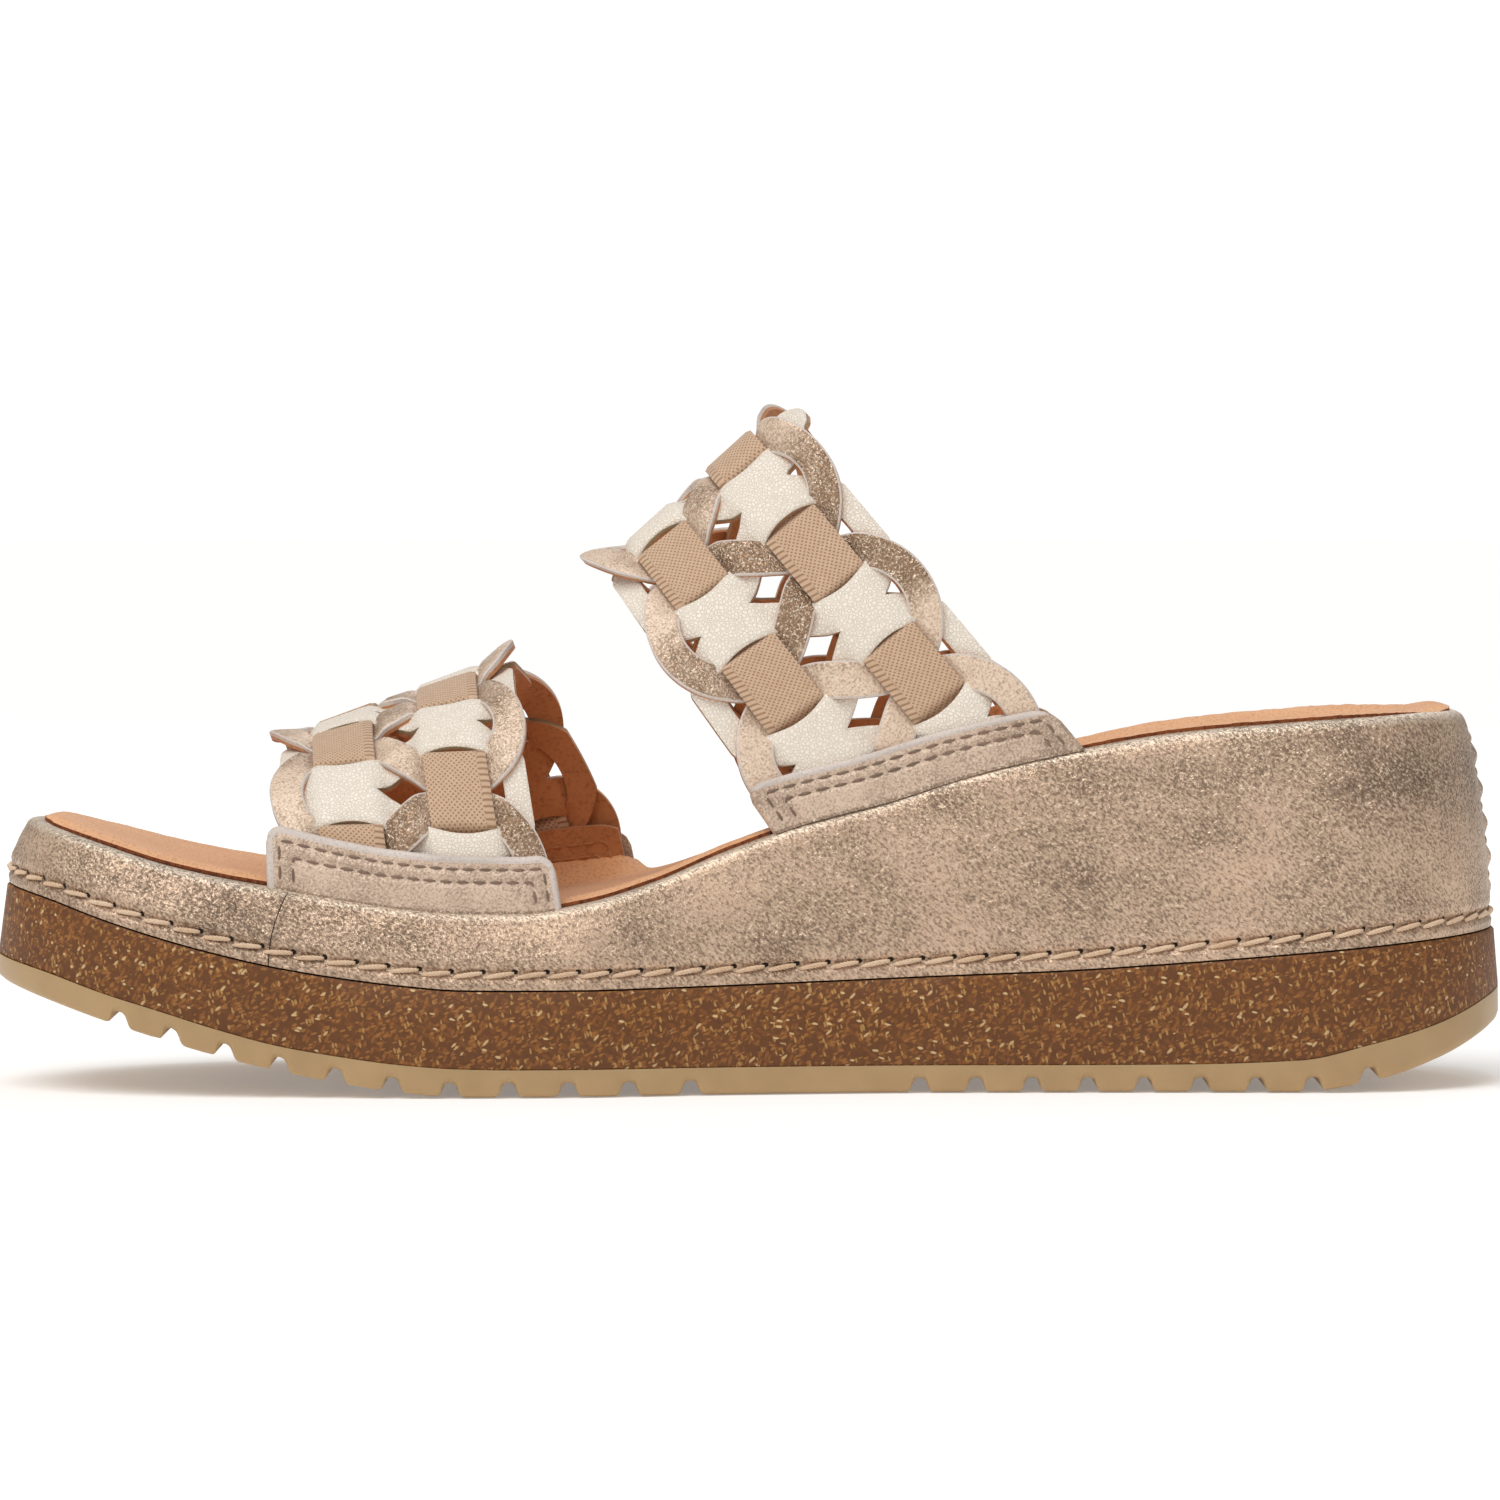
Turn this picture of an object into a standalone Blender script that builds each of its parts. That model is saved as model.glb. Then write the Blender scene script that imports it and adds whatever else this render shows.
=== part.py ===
"""A right wedge mule with two woven straps, as separate named solids. The toe points to -X."""

import math

import bmesh
import bpy
import numpy as np
from mathutils.geometry import delaunay_2d_cdt

# Main sizes, in millimetres
MM = 0.001
LENGTH = 256.0
GAP = 0.3
RINGS_PER_SIDE = 44
CAP_COLUMNS = 5
SHARP_DEGREES = 35.0

# Ends of the plan outline, as superellipse corners
TOE_REACH = 48.0
TOE_POWER = 2.2
HEEL_REACH = 33.0
HEEL_POWER = 2.2

# Plan outline: the axis and the breadth to each side of it, before the ends are rounded
PLAN_COLUMNS = ("station", "axis", "medial", "lateral")
PLAN = (
    (0, -9.0, 37.0, 40.0),
    (25, -5.5, 38.5, 41.5),
    (50, -2.0, 42.0, 44.0),
    (75, 0.0, 45.5, 46.5),
    (95, 0.0, 44.5, 47.0),
    (125, 0.0, 38.0, 44.5),
    (160, 0.0, 33.5, 38.5),
    (195, 0.0, 33.0, 36.0),
    (225, 0.0, 33.5, 35.0),
    (256, 0.0, 33.5, 34.5),
)

# Side profile: the layer lines on the medial side, and how far the lateral rim lies below it
PROFILE_COLUMNS = ("station", "tread", "cork_foot", "cork_top", "rim", "lateral_drop", "cup")
PROFILE = (
    (0, 18.7, 22.2, 34.6, 48.3, 0.0, 0.4),
    (10, 15.6, 19.8, 32.2, 45.5, 0.0, 0.5),
    (20, 12.4, 16.6, 28.9, 42.7, 0.0, 0.6),
    (30, 9.4, 13.7, 25.9, 39.6, 0.0, 0.7),
    (40, 6.6, 10.7, 23.3, 37.0, 0.0, 0.8),
    (50, 4.2, 8.1, 21.1, 34.8, 0.0, 0.9),
    (60, 2.3, 6.4, 19.5, 32.6, 0.0, 1.0),
    (70, 0.8, 5.1, 18.3, 31.2, 0.0, 1.0),
    (80, 0.0, 4.4, 17.5, 30.4, 0.0, 1.0),
    (90, 0.0, 4.2, 17.4, 30.3, 0.3, 1.0),
    (100, 0.0, 4.2, 17.4, 31.7, 1.0, 1.0),
    (112, 0.0, 4.2, 17.6, 35.2, 2.4, 0.9),
    (124, 0.0, 4.2, 17.9, 40.2, 3.5, 0.9),
    (136, 0.0, 4.2, 18.3, 44.4, 3.9, 1.0),
    (150, 0.0, 4.2, 18.8, 48.1, 3.5, 1.2),
    (165, 0.0, 4.2, 19.4, 52.9, 2.6, 1.6),
    (180, 0.0, 4.2, 20.0, 56.9, 1.5, 2.0),
    (200, 0.0, 4.3, 21.3, 60.8, 0.4, 2.5),
    (220, 0.0, 5.0, 22.9, 62.4, 0.0, 2.8),
    (232, 1.7, 7.6, 24.0, 62.9, 0.0, 2.8),
    (244, 5.4, 10.9, 25.1, 63.1, 0.0, 2.4),
    (256, 11.0, 16.0, 26.2, 63.2, 0.0, 2.0),
)

# Walls of the outsole and the cork, from below: layer line, lift above it, how far in from the plan
# outline, and how much further in at the toe, where the layers lean back
OUTSOLE_WALL = (
    ("tread", 0.0, 1.0, 0.0),
    ("tread", 1.1, 0.1, 0.0),
    ("cork_foot", 0.0, 0.2, 0.0),
)
CORK_WALL = (
    ("cork_foot", GAP, 0.2, 0.3),
    ("cork_top", 0.0, 1.0, 1.0),
)
TOE_LEAN_REACH = 40.0

# Wall of the wedge, from below: share of its height, and how far in from the plan outline
WEDGE_TOE_LEAN = 0.8
WEDGE_WALL = (
    (0.0, 1.5),
    (0.3, 2.1),
    (0.6, 3.4),
    (0.82, 4.8),
    (0.93, 5.6),
    (0.985, 6.7),
    (1.0, 8.2),
)
CUP_REACH = 18.0

# Insole: its faces above the footbed, its trimmed edge, and the notches beside the straps
INSOLE_FOOT = 1.0
INSOLE_TOP = 2.7
INSOLE_EDGE = 0.5
INSOLE_INSET = 8.6
NOTCH_INSET = 12.4
NOTCH_RAMP = 0.8
NOTCH_MARGIN = 1.6
SHORTEST_STEP = 0.3

# Grooves across the outsole
FRONT_GROOVES = 11
FRONT_GROOVE_START = 23.0
FRONT_GROOVE_STEP = 8.75
FRONT_GROOVE_GROWTH = 0.076
HEEL_GROOVES = 9
HEEL_GROOVE_START = 156.4
HEEL_GROOVE_STEP = 9.4
GROOVE_SLOPE_REACH = 2.0
GROOVE_PROFILE = ((1.95, -2.5), (1.65, 0.0), (1.45, 1.2), (0.85, 2.1), (0.0, 2.4))

# Weave of both straps, flat: u runs along the strap and v across it
PITCH = 26.5
MOST_PITCHES = 5
COLUMN = 9.35
STRAP_HALF = 24.0
SCALLOP_CENTRE = 7.4
SCALLOP_RADIUS = 14.8
HOLE_CENTRE = 9.0
HOLE_RADIUS = 7.7
HOLE_TIP = -4.3
TAPE_HALF = 4.9
EDGE_RAMP = 0.6
HOLE_STEPS = 4
SCALLOP_STEPS = 5
SCALLOP_DEGREES = (35.0, 145.0)
CREAM_HEIGHT = 1.7
GOLD_HEIGHT = 2.5
TAPE_HEIGHT = 2.8
KITE = ((0.0, 14.1), (1.8, 16.45), (0.0, 16.7), (-1.8, 16.45))

# Bands at the strap feet
BAND_HEIGHT = 9.5
BAND_INNER = 3.1
BAND_OUTER = 4.7
BAND_EDGE = 0.6
BAND_CORNER = 3.0
BAND_CORNER_DEGREES = (90, 60, 30)
BAND_COLUMNS = 8
BAND_LIFT = 0.4
BAND_HALF = 23.0

# Strap feet stand this far in from the plan outline, measured to their inner face, and above the rim
STRAP_INSET = 11.3
STRAP_LIFT = 0.65
FOOT_MARGIN = 2.0
FOOT_POINTS = 8
ARCH_STEPS = 80

# Where each strap runs: its crest in side view, its feet as stations, how full its arch is, where
# a tape lies on it, and how far its weave leans back across it
STRAPS = {
    "front": {
        "crest_front": (45.7, 54.5),
        "crest_rear": (90.7, 71.1),
        "crest_side": 5.0,
        "medial": (46.1, 96.9),
        "lateral": (57.0, 107.0),
        "fullness": 2.35,
        "first_tape": -12.4,
        "skew": -0.25,
    },
    "rear": {
        "crest_front": (101.7, 83.3),
        "crest_rear": (136.6, 114.9),
        "crest_side": -1.0,
        "medial": (131.8, 184.8),
        "lateral": (133.5, 186.0),
        "fullness": 2.15,
        "first_tape": -1.5,
        "skew": 0.0,
    },
}

# Finishes: linear colour, roughness, metallic
FINISHES = {
    "honey_rubber": ((0.58, 0.40, 0.20), 0.45, 0.0),
    "cork_composite": ((0.20, 0.09, 0.03), 0.8, 0.0),
    "foil_leather": ((0.45, 0.33, 0.22), 0.4, 0.3),
    "tan_suede": ((0.60, 0.27, 0.11), 0.95, 0.0),
    "woven_leather": ((0.70, 0.55, 0.38), 0.5, 0.0),
    "band_leather": ((0.60, 0.43, 0.30), 0.45, 0.2),
}


def smooth_curve(columns, rows, name):
    """A cubic through one column of a table that never overshoots, so a level stretch stays level."""
    table = np.array(rows, float)
    at = table[:, columns.index("station")]
    value = table[:, columns.index(name)]
    step = np.diff(at)
    slope = np.diff(value) / step
    tangent = np.zeros(len(at))
    tangent[0] = slope[0]
    tangent[-1] = slope[-1]
    for i in range(1, len(at) - 1):
        if slope[i - 1] * slope[i] > 0:
            tangent[i] = 2 * slope[i - 1] * slope[i] / (slope[i - 1] + slope[i])

    def curve(station):
        station = min(max(station, at[0]), at[-1])
        i = min(int(np.searchsorted(at, station, side="right")) - 1, len(step) - 1)
        f = (station - at[i]) / step[i]
        start = (1 + 2 * f) * (1 - f) ** 2 * value[i] + f * (1 - f) ** 2 * step[i] * tangent[i]
        end = f * f * (3 - 2 * f) * value[i + 1] - f * f * (1 - f) * step[i] * tangent[i + 1]
        return start + end

    return curve


plan = {name: smooth_curve(PLAN_COLUMNS, PLAN, name) for name in PLAN_COLUMNS[1:]}
profile = {name: smooth_curve(PROFILE_COLUMNS, PROFILE, name) for name in PROFILE_COLUMNS[1:]}


def end_round(distance, reach, power):
    inside = 1 - min(max(distance / reach, 0.0), 1.0)
    return (1 - inside**power) ** (1 / power)


def raw_edge(angle, side):
    """A point of the plan outline. The angle runs from 0 at the toe to pi at the heel."""
    station = LENGTH * (1 - math.cos(angle)) / 2
    toe = end_round(station, TOE_REACH, TOE_POWER)
    heel = end_round(LENGTH - station, HEEL_REACH, HEEL_POWER)
    breadth = plan["medial" if side < 0 else "lateral"](station)
    return np.array([station - LENGTH / 2, plan["axis"](station) + side * breadth * toe * heel])


def outline_middle():
    """Half way between the widest points of the plan outline."""
    angles = np.linspace(0, math.pi, 400)
    medial = min(raw_edge(angle, -1)[1] for angle in angles)
    lateral = max(raw_edge(angle, 1)[1] for angle in angles)
    return (medial + lateral) / 2


ANGLES = [math.pi * j / RINGS_PER_SIDE for j in range(RINGS_PER_SIDE + 1)]
MIDDLE = outline_middle()


def inset_edge(angle, side, inset):
    """The plan outline moved inwards along its own normal, with the outline's middle on Y = 0."""
    nudge = 1e-3
    before = raw_edge(max(angle - nudge, 0), side)
    after = raw_edge(min(angle + nudge, math.pi), side)
    along = (after - before) / np.linalg.norm(after - before)
    inward = np.array([-along[1], along[0]]) * -side
    return raw_edge(angle, side) + inset * inward - np.array([0, MIDDLE])


def station_angle(station):
    return math.acos(1 - 2 * station / LENGTH)


def rim_height(station, side):
    drop = profile["lateral_drop"](station) if side > 0 else 0.0
    return profile["rim"](station) - drop


def footbed(x, y):
    """Height of the wedge's top: level with the rim at its edge, and cupped inside it."""
    station = x + LENGTH / 2
    angle = station_angle(min(max(station, 0), LENGTH))
    inset = WEDGE_WALL[-1][1]
    low = raw_edge(angle, -1)[1] - MIDDLE + inset
    high = raw_edge(angle, 1)[1] - MIDDLE - inset
    share = min(max((y - low) / max(high - low, 1e-6), 0), 1)
    rim = (1 - share) * rim_height(station, -1) + share * rim_height(station, 1)
    inside = min(y - low, high - y, station - inset, LENGTH - inset - station)
    reach = min(max(inside / CUP_REACH, 0), 1)
    return rim - profile["cup"](station) * (1 - (1 - reach) ** 2)


def ring(inset, height, angles=None):
    """A closed loop of points: toe, medial side, heel, lateral side."""
    angles = angles or ANGLES
    loop = [(a, -1) for a in angles] + [(a, 1) for a in angles[-2:0:-1]]
    points = []
    for angle, side in loop:
        station = LENGTH * (1 - math.cos(angle)) / 2
        x, y = inset_edge(angle, side, inset(station, side))
        points.append((x, y, height(x, y, side)))
    return points


def cap(bm, loop, columns, height):
    """Rungs from the medial half of a loop to its lateral half, with faces between them."""
    half = len(loop) // 2
    rungs = [[loop[0]]]
    for j in range(1, half):
        first = loop[j]
        last = loop[-j]
        rung = [first]
        for k in range(1, columns + 1):
            x, y, z = first.co.lerp(last.co, k / (columns + 1))
            rung.append(bm.verts.new((x, y, height(x, y) if height else z)))
        rungs.append(rung + [last])
    rungs.append([loop[half]])
    for one, two in zip(rungs, rungs[1:]):
        for k in range(max(len(one), len(two)) - 1):
            one_pair = [one[min(i, len(one) - 1)] for i in (k, k + 1)]
            two_pair = [two[min(i, len(two) - 1)] for i in (k + 1, k)]
            bm.faces.new(list(dict.fromkeys(one_pair + two_pair)))


def make_material(name, finish):
    colour, roughness, metallic = FINISHES[finish]
    material = bpy.data.materials.new(f"{name}_{finish}")
    material.use_nodes = True
    shader = material.node_tree.nodes["Principled BSDF"]
    shader.inputs["Base Color"].default_value = (*colour, 1)
    shader.inputs["Roughness"].default_value = roughness
    shader.inputs["Metallic"].default_value = metallic
    return material


def add_object(name, bm, finish):
    """A finished bmesh in millimetres becomes a named object in metres."""
    bmesh.ops.scale(bm, vec=(MM, MM, MM), verts=bm.verts)
    bmesh.ops.recalc_face_normals(bm, faces=bm.faces)
    mesh = bpy.data.meshes.new(name)
    bm.to_mesh(mesh)
    bm.free()
    mesh.shade_smooth()
    mesh.set_sharp_from_angle(angle=math.radians(SHARP_DEGREES))
    if finish:
        mesh.materials.append(make_material(name, finish))
    item = bpy.data.objects.new(name, mesh)
    bpy.context.scene.collection.objects.link(item)
    return item


def loft(name, rings, finish, top=None, bottom=None, columns=(0, 0)):
    """Loops joined one above the other, closed below and above."""
    bm = bmesh.new()
    loops = [[bm.verts.new(point) for point in points] for points in rings]
    for low, high in zip(loops, loops[1:]):
        for i in range(len(low)):
            j = (i + 1) % len(low)
            bm.faces.new((low[i], low[j], high[j], high[i]))
    cap(bm, loops[0], columns[0], bottom)
    cap(bm, loops[-1], columns[1], top)
    return add_object(name, bm, finish)


def leaning(inset, toe_lean):
    """An inset that grows towards the toe, where the layers lean back."""
    return lambda station, side: inset + toe_lean * max(0.0, 1 - station / TOE_LEAN_REACH) ** 2


def wall_rings(wall):
    """One ring for each row of an outsole or cork wall."""
    rings = []
    for line, lift, inset, toe_lean in wall:
        height = profile[line]
        rings.append(
            ring(
                leaning(inset, toe_lean),
                lambda x, y, side, height=height, lift=lift: height(x + LENGTH / 2) + lift,
            )
        )
    return rings


def cut(item, cutter):
    cutter.hide_render = True
    cutter.display_type = "WIRE"
    modifier = item.modifiers.new("cut", "BOOLEAN")
    modifier.operation = "DIFFERENCE"
    modifier.solver = "EXACT"
    modifier.object = cutter


def groove_stations():
    front = []
    for k in range(FRONT_GROOVES):
        front.append(FRONT_GROOVE_START + FRONT_GROOVE_STEP * k + FRONT_GROOVE_GROWTH * k * k)
    return front + [HEEL_GROOVE_START + HEEL_GROOVE_STEP * k for k in range(HEEL_GROOVES)]


def groove_cutter():
    """One bar a groove, across the sole and square to the tread there."""
    bm = bmesh.new()
    profile_points = [(-x, z) for x, z in GROOVE_PROFILE[:-1]] + list(GROOVE_PROFILE[::-1])
    for station in groove_stations():
        rise = profile["tread"](station + GROOVE_SLOPE_REACH) - profile["tread"](station - GROOVE_SLOPE_REACH)
        slope = math.atan2(rise, 2 * GROOVE_SLOPE_REACH)
        corners = []
        for x, z in profile_points:
            along = x * math.cos(slope) - z * math.sin(slope)
            up = x * math.sin(slope) + z * math.cos(slope)
            place = (station - LENGTH / 2 + along, -LENGTH / 4, profile["tread"](station) + up)
            corners.append(bm.verts.new(place))
        face = bm.faces.new(corners)
        pulled = bmesh.ops.extrude_face_region(bm, geom=[face])["geom"]
        moved = [part for part in pulled if isinstance(part, bmesh.types.BMVert)]
        bmesh.ops.translate(bm, vec=(0, LENGTH / 2, 0), verts=moved)
    return add_object("groove_cutter", bm, None)


def build_sole():
    outsole = loft("outsole", wall_rings(OUTSOLE_WALL), "honey_rubber")
    cut(outsole, groove_cutter())
    loft("midsole", wall_rings(CORK_WALL), "cork_composite")


def wedge_ring(share, inset):
    def height(x, y, side):
        station = x + LENGTH / 2
        foot = profile["cork_top"](station) + GAP
        return foot + share * (rim_height(station, side) - foot)

    return ring(leaning(inset, WEDGE_TOE_LEAN * (1 - share)), height)


def build_wedge():
    rings = [wedge_ring(share, inset) for share, inset in WEDGE_WALL]
    loft("wedge", rings, "foil_leather", top=footbed, columns=(0, CAP_COLUMNS))


def insole_inset(station, side):
    """The insole's edge steps in where a strap goes down beside it."""
    deepest = 0.0
    for strap in STRAPS.values():
        start, end = strap["medial"] if side < 0 else strap["lateral"]
        inside = min(station - start, end - station) + NOTCH_MARGIN
        deepest = max(deepest, min(max(inside / NOTCH_RAMP, 0), 1))
    return INSOLE_INSET + (NOTCH_INSET - INSOLE_INSET) * deepest


def insole_angles():
    """The usual rings of the outline, with the corners of the notches among them."""
    stations = {LENGTH * (1 - math.cos(a)) / 2 for a in ANGLES}
    for strap in STRAPS.values():
        for start, end in (strap["medial"], strap["lateral"]):
            first = start - NOTCH_MARGIN
            last = end + NOTCH_MARGIN
            stations |= {first, first + NOTCH_RAMP, last - NOTCH_RAMP, last}
    ordered = sorted(stations)
    kept = [ordered[0]] + [b for a, b in zip(ordered, ordered[1:]) if b - a > SHORTEST_STEP]
    return [station_angle(min(station, LENGTH)) for station in kept]


def build_insole():
    angles = insole_angles()
    levels = ((INSOLE_FOOT, 0.0), (INSOLE_TOP - INSOLE_EDGE, 0.0), (INSOLE_TOP, INSOLE_EDGE))
    rings = []
    for lift, trim in levels:
        rings.append(
            ring(
                lambda station, side, trim=trim: insole_inset(station, side) + trim,
                lambda x, y, side, lift=lift: footbed(x, y) + lift,
                angles,
            )
        )
    loft(
        "insole",
        rings,
        "tan_suede",
        top=lambda x, y: footbed(x, y) + INSOLE_TOP,
        bottom=lambda x, y: footbed(x, y) + INSOLE_FOOT,
        columns=(CAP_COLUMNS, CAP_COLUMNS),
    )


class StrapForm:
    """The curved inner face of a strap. The weave's u runs over it from the medial to the lateral foot."""

    def __init__(self, sizes):
        self.sizes = sizes
        quarter = np.linspace(0, math.pi / 2, ARCH_STEPS + 1)
        power = 2 / sizes["fullness"]
        self.out = np.sin(quarter) ** power
        self.down = 1 - np.cos(quarter) ** power
        self.cache = {}

    def foot(self, share, side):
        start, end = self.sizes["medial"] if side < 0 else self.sizes["lateral"]
        station = start + share * (end - start)
        x, y = inset_edge(station_angle(station), side, STRAP_INSET)
        return np.array([x, y, rim_height(x + LENGTH / 2, side) + STRAP_LIFT])

    def section(self, v, side):
        """Points and lengths of one arch, from the crest down to a foot."""
        key = (round(v, 4), side)
        if key in self.cache:
            return self.cache[key]
        share = 0.5 + v / (2 * STRAP_HALF)
        front = np.array(self.sizes["crest_front"])
        rear = np.array(self.sizes["crest_rear"])
        station, height = front + share * (rear - front)
        crest = np.array([station - LENGTH / 2, self.sizes["crest_side"], height])
        fall = self.foot(share, side) - crest
        sideways = fall * (0, 1, 0)
        points = crest + np.outer(self.out, sideways) + np.outer(self.down, fall - sideways)
        steps = np.linalg.norm(np.diff(points, axis=0), axis=1)
        lengths = np.concatenate([[0], np.cumsum(steps)])
        self.cache[key] = points, lengths
        return points, lengths

    def foot_u(self, v, side):
        """The u at which the strap meets the wedge."""
        return side * self.section(v, side)[1][-1] - self.sizes["skew"] * v

    def foot_gap(self, u, v):
        """How far a point lies above the nearer foot."""
        return min(u - self.foot_u(v, -1), self.foot_u(v, 1) - u)

    def face_point(self, u, v):
        from_crest = u + self.sizes["skew"] * v
        points, lengths = self.section(v, -1 if from_crest < 0 else 1)
        return np.array([np.interp(abs(from_crest), lengths, points[:, k]) for k in range(3)])

    def point(self, u, v, height):
        """A point at a height above the face."""
        nudge = 0.5
        along = self.face_point(u + nudge, v) - self.face_point(u - nudge, v)
        across = self.face_point(u, v + nudge) - self.face_point(u, v - nudge)
        outward = np.cross(across, along)
        return self.face_point(u, v) + height * outward / np.linalg.norm(outward)


def hole_distance(u, v):
    """Distance outside a teardrop hole of a leather net. It is centred on u = 0 and points to -v."""
    slant = math.asin(HOLE_RADIUS / (HOLE_CENTRE - HOLE_TIP))
    from_tip = (abs(u), v - HOLE_TIP)
    along = from_tip[0] * math.sin(slant) + from_tip[1] * math.cos(slant)
    if along < 0:
        return math.hypot(*from_tip)
    if along < (HOLE_CENTRE - HOLE_TIP) * math.cos(slant):
        return from_tip[0] * math.cos(slant) - from_tip[1] * math.sin(slant)
    return math.hypot(u, v - HOLE_CENTRE) - HOLE_RADIUS


def sites(form):
    """Every half pitch along a strap: its u, and the side of the column where its tape lies."""
    first = form.sizes["first_tape"]
    for k in range(-2 * MOST_PITCHES, 2 * MOST_PITCHES + 1):
        yield first + k * PITCH / 2, 1 if k % 2 == 0 else -1


def relief(u, v, form):
    """Height of the strap's outer face: cream leather, gold leather on it, tapes over both."""
    gold = PITCH
    rim = -PITCH
    tape = -PITCH
    for at, side in sites(form):
        if abs(at - u) > PITCH:
            continue
        gold = min(gold, hole_distance(u - at, -side * v))
        rim = max(rim, SCALLOP_RADIUS - math.hypot(u - at, -side * v - SCALLOP_CENTRE))
        beside = TAPE_HALF - abs(side * v - COLUMN)
        within = HOLE_RADIUS - math.hypot(u - at, side * v - HOLE_CENTRE)
        tape = max(tape, min(beside, within))
    gold_share = min(max(min(gold, rim) / EDGE_RAMP, 0), 1)
    tape_share = min(max(tape / EDGE_RAMP, 0), 1)
    leather = CREAM_HEIGHT + (GOLD_HEIGHT - CREAM_HEIGHT) * gold_share
    return leather + (TAPE_HEIGHT - leather) * tape_share


def hole_line(grow):
    """Half a teardrop from near its tip round to the far side of its circle."""
    radius = HOLE_RADIUS + grow
    slant = math.asin(HOLE_RADIUS / (HOLE_CENTRE - HOLE_TIP))
    tip = HOLE_TIP - grow / math.sin(slant)
    start = 0.0 if grow == 0 else HOLE_TIP
    points = [((start - tip) * math.tan(slant), start)]
    for k in range(HOLE_STEPS + 1):
        turn = -slant + (math.pi / 2 + slant) * k / HOLE_STEPS
        points.append((radius * math.cos(turn), HOLE_CENTRE + radius * math.sin(turn)))
    return points + [(-x, y) for x, y in points[-2::-1]]


def tape_line(shrink):
    half = TAPE_HALF - shrink
    radius = HOLE_RADIUS - shrink
    low = COLUMN - half
    high = COLUMN + half
    points = []
    for v in (low, HOLE_CENTRE, high):
        points.append((math.sqrt(radius**2 - (v - HOLE_CENTRE) ** 2), v))
    return points + [(-u, v) for u, v in points[::-1]]


def scallop_line(shrink):
    """The outer edge of a gold scallop, down to the notch beside it."""
    radius = SCALLOP_RADIUS - shrink
    points = []
    for turn in np.radians(np.linspace(*SCALLOP_DEGREES, SCALLOP_STEPS + 1)):
        points.append((radius * math.cos(turn), SCALLOP_CENTRE + radius * math.sin(turn)))
    return points


def strap_side(form, edge):
    """One scalloped edge of a strap, from its medial foot to its lateral foot."""
    valley = SCALLOP_CENTRE + math.sqrt(SCALLOP_RADIUS**2 - (PITCH / 4) ** 2)
    points = [(form.foot_u(edge * valley, -1), edge * valley)]
    for at, _ in sites(form):
        for offset in (-PITCH / 4, -PITCH / 8, 0, PITCH / 8):
            v = SCALLOP_CENTRE + math.sqrt(SCALLOP_RADIUS**2 - offset**2)
            if form.foot_gap(at + offset, edge * v) > FOOT_MARGIN:
                points.append((at + offset, edge * v))
    return points + [(form.foot_u(edge * valley, 1), edge * valley)]


def strap_outline(form):
    """The whole edge of a strap, flat, one way round."""
    rear = strap_side(form, 1)
    front = strap_side(form, -1)
    across = np.linspace(rear[0][1], front[0][1], FOOT_POINTS)[1:-1]
    lateral = [(form.foot_u(v, 1), v) for v in across]
    medial = [(form.foot_u(v, -1), v) for v in across[::-1]]
    return rear + lateral + front[::-1] + medial


def strap_gaps(form):
    """The gaps between the strips that go right through, clear of the bands."""
    slant = math.asin(HOLE_RADIUS / (HOLE_CENTRE - HOLE_TIP))
    wide = -HOLE_TIP * math.tan(slant)
    diamond = ((0, HOLE_TIP), (wide, 0), (0, -HOLE_TIP), (-wide, 0))
    outer_kite = [(u, -v) for u, v in KITE]
    gaps = []
    for at, _ in sites(form):
        for shape in (diamond, KITE, outer_kite):
            moved = [(at + u, v) for u, v in shape]
            if min(form.foot_gap(u, v) for u, v in moved) > BAND_HEIGHT + GAP:
                gaps.append(moved)
    return gaps


def strap_lines(form):
    """The lines along which a strap's outer face steps up, apart from those that a band covers."""
    lines = []
    for at, side in sites(form):
        for ramp in (0.0, EDGE_RAMP):
            around = tape_line(ramp)
            lines.append([(at + u, -side * v) for u, v in hole_line(ramp)])
            lines.append([(at + u, -side * v) for u, v in scallop_line(ramp)])
            lines.append([(at + u, side * v) for u, v in around + around[:1]])
    return [line for line in lines if max(form.foot_gap(u, v) for u, v in line) > BAND_HEIGHT]


def anticlockwise(shape):
    area = sum(a[0] * b[1] - b[0] * a[1] for a, b in zip(shape, shape[1:] + shape[:1]))
    return shape if area > 0 else shape[::-1]


def build_strap(name, sizes):
    """The flat weave is split into triangles, given its thickness, and laid on the strap's form."""
    form = StrapForm(sizes)
    points = []
    edges = []
    faces = []
    for shape in [strap_outline(form)] + strap_gaps(form):
        faces.append(list(range(len(points), len(points) + len(shape))))
        points += anticlockwise(shape)
    for line in strap_lines(form):
        edges += [(len(points) + k, len(points) + k + 1) for k in range(len(line) - 1)]
        points += line
    flat = delaunay_2d_cdt(points, edges, faces, 0, 1e-3)
    kept = [list(face) for face, inside in zip(flat[2], flat[5]) if inside == [0]]
    used = sorted({corner for face in kept for corner in face})
    bm = bmesh.new()
    inner = {}
    outer = {}
    for i in used:
        u, v = flat[0][i]
        inner[i] = bm.verts.new(form.point(u, v, 0))
        outer[i] = bm.verts.new(form.point(u, v, relief(u, v, form)))
    borders = {}
    for face in kept:
        bm.faces.new([outer[i] for i in face])
        bm.faces.new([inner[i] for i in face[::-1]])
        for a, b in zip(face, face[1:] + face[:1]):
            if borders.pop((b, a), None) is None:
                borders[(a, b)] = True
    for a, b in borders:
        bm.faces.new((outer[a], inner[a], inner[b], outer[b]))
    add_object(f"{name}_strap", bm, "woven_leather")
    return form


def band_height(v):
    """The band's height at v, with its upper corners rounded."""
    into = max(abs(v) - (BAND_HALF - BAND_CORNER), 0)
    return BAND_HEIGHT - BAND_CORNER + math.sqrt(BAND_CORNER**2 - into**2)


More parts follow.
